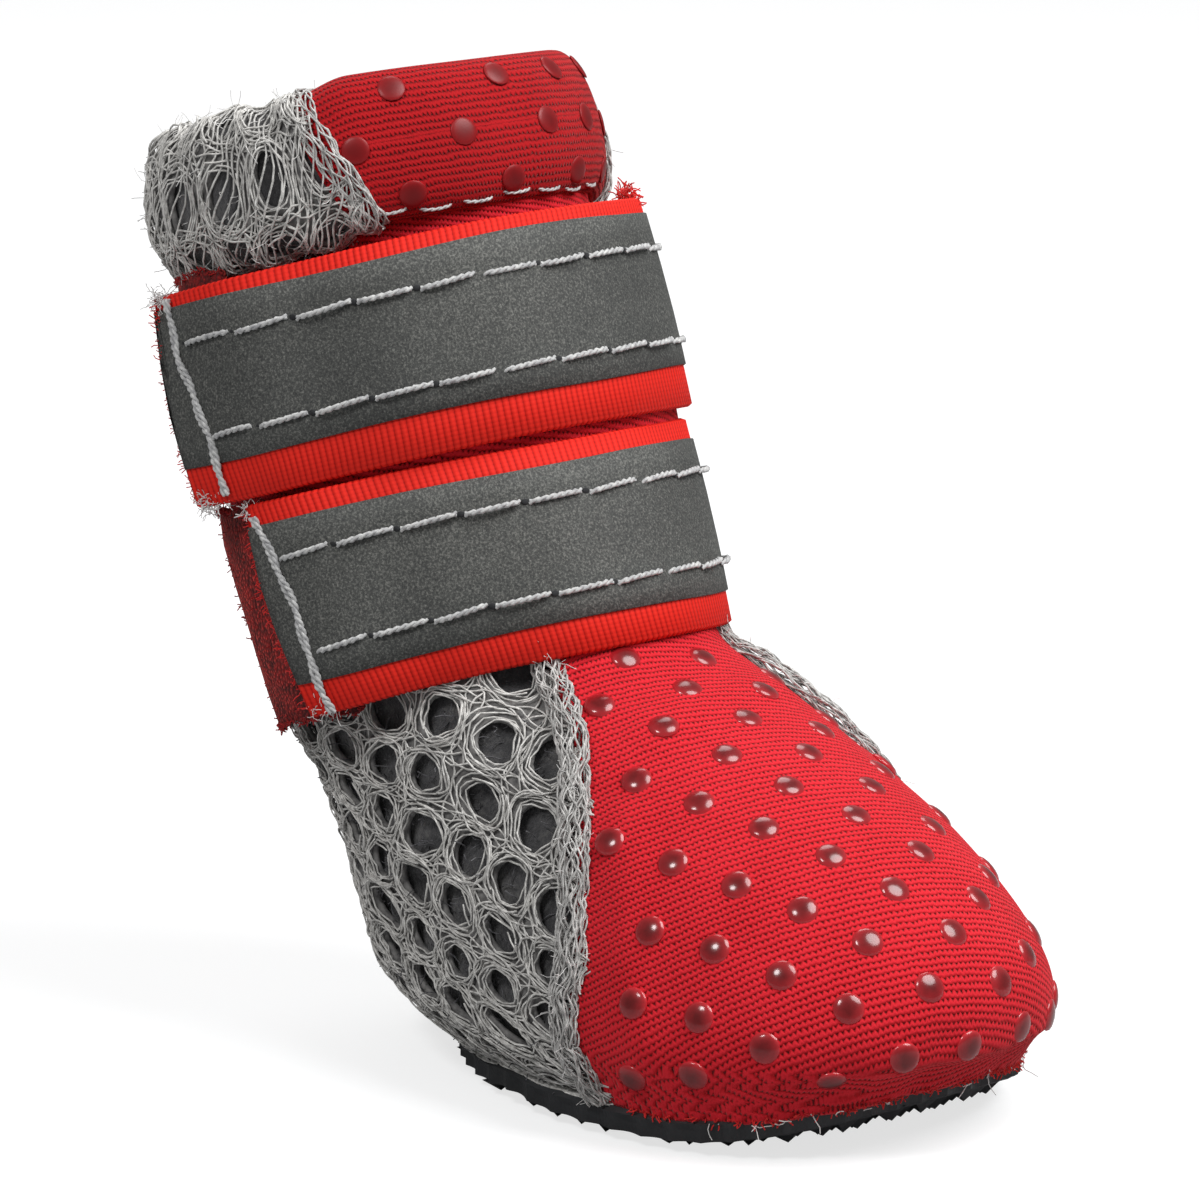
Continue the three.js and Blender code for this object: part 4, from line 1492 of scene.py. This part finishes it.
def make_strap_nap():
    """Red fluff that the pile sheds above the upper strap at the front."""
    rng = np.random.default_rng(13)
    count = 150
    degrees = rng.normal(44, 3.5, count)
    rows = rng.uniform(8.85, 9.1, count)
    roots = on_skin(rows, degrees, rng.uniform(-0.6, 1.0, count))
    up = unit(skin_normal(rows, degrees) * 0.4 + np.array([0, 0, 1.0]))
    yarn("strap_nap", fibres(rng, roots, up, (0.4, 1.5), lie=0.6), 0.13, RED_FIBRE)


def make_slit_fluff():
    """Pale fluff that shows in the open bottom of the slit."""
    rng = np.random.default_rng(11)
    count = 420
    rows = rng.uniform(4.2, 5.2, count)
    degrees = 180 + rng.uniform(-1, 1, count) * slit_degrees(rows)
    roots = on_skin(rows, degrees, -1.8)
    fluff = fibres(rng, roots, skin_normal(rows, degrees), (1.0, 2.6), lie=0.9)
    yarn("slit_fluff", fluff, 0.08, PALE_FIBRE)


# ---- Floor, light and camera ----

PAPER_GLOW = 0.72  # only the camera sees it, so that the paper throws little light up at the boot


def area_light(name, place, aim, size, power):
    light = bpy.data.lights.new(name, "AREA")
    light.shape, light.size, light.energy = "DISK", size, power
    obj = bpy.data.objects.new(name, light)
    obj.location = place
    obj.rotation_euler = (Vector(aim) - Vector(place)).to_track_quat("-Z", "Y").to_euler()
    bpy.context.scene.collection.objects.link(obj)


def make_studio():
    bm = bmesh.new()
    bmesh.ops.create_grid(bm, x_segments=1, y_segments=1, size=6.0)
    mesh = bpy.data.meshes.new("floor")
    bm.to_mesh(mesh)
    bm.free()
    paper, tree, shader = new_finish("seamless_paper", Roughness=0.9)
    shader.inputs["Base Color"].default_value = linear("#9FA0A1")
    shader.inputs["Emission Color"].default_value = linear("#FFFFFF")
    seen = add(tree, "LightPath").outputs["Is Camera Ray"]
    glow = add(tree, "Math", {0: seen, 1: PAPER_GLOW}, operation="MULTIPLY")
    tree.links.new(glow.outputs[0], shader.inputs["Emission Strength"])
    mesh.materials.append(paper)
    floor = bpy.data.objects.new("floor", mesh)
    bpy.context.scene.collection.objects.link(floor)
    floor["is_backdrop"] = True
    world = bpy.data.worlds.new("soft_white_room")
    world.use_nodes = True
    world.node_tree.nodes["Background"].inputs["Color"].default_value = linear("#FFFFFF")
    world.node_tree.nodes["Background"].inputs["Strength"].default_value = 0.24
    bpy.context.scene.world = world
    centre = (-0.018, 0, 0.045)
    area_light("key_softbox", (0.36, 0.2, 0.68), centre, 0.55, 7.0)
    area_light("sparkle_softbox", (0.05, -0.52, 0.62), centre, 0.2, 2.2)
    area_light("back_softbox", (-0.45, 0.35, 0.7), centre, 0.5, 2.0)


def make_camera(azimuth=46.6, elevation=12.7, roll=0.57, distance=0.743, frame_width=0.119):
    camera = bpy.data.cameras.new("camera")
    camera.sensor_width = 36.0
    camera.lens = 36.0 * distance / frame_width
    camera.clip_start, camera.clip_end = 0.01, 50.0
    obj = bpy.data.objects.new("camera", camera)
    a, e = math.radians(azimuth), math.radians(elevation)
    back = Vector((math.sin(a) * math.cos(e), -math.cos(a) * math.cos(e), math.sin(e)))
    aim = Vector((-0.0199, 0.0006, 0.0449))
    obj.location = aim + back * distance
    turn = (-back).to_track_quat("-Z", "Y").to_matrix().to_4x4()
    obj.rotation_euler = (turn @ Matrix.Rotation(math.radians(roll), 4, "Z")).to_euler()
    bpy.context.scene.collection.objects.link(obj)
    bpy.context.scene.camera = obj
    bpy.context.scene.view_settings.view_transform = "Standard"


make_camera()
make_studio()
make_outsole()
make_insole()
make_lining()
make_vamp()
make_vamp_dots()
make_hem()
make_hem_stitches()
make_quarters()
make_seam_edges()
make_mesh_collar()
for strap_name, strap in STRAPS.items():
    make_strap(strap_name, **strap)
    make_pile_tab(strap_name, **strap)
make_toe_fray()
make_strap_nap()
make_slit_fluff()

[list(corner) for corner in (CAD_LOW, CAD_HIGH, *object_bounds())]
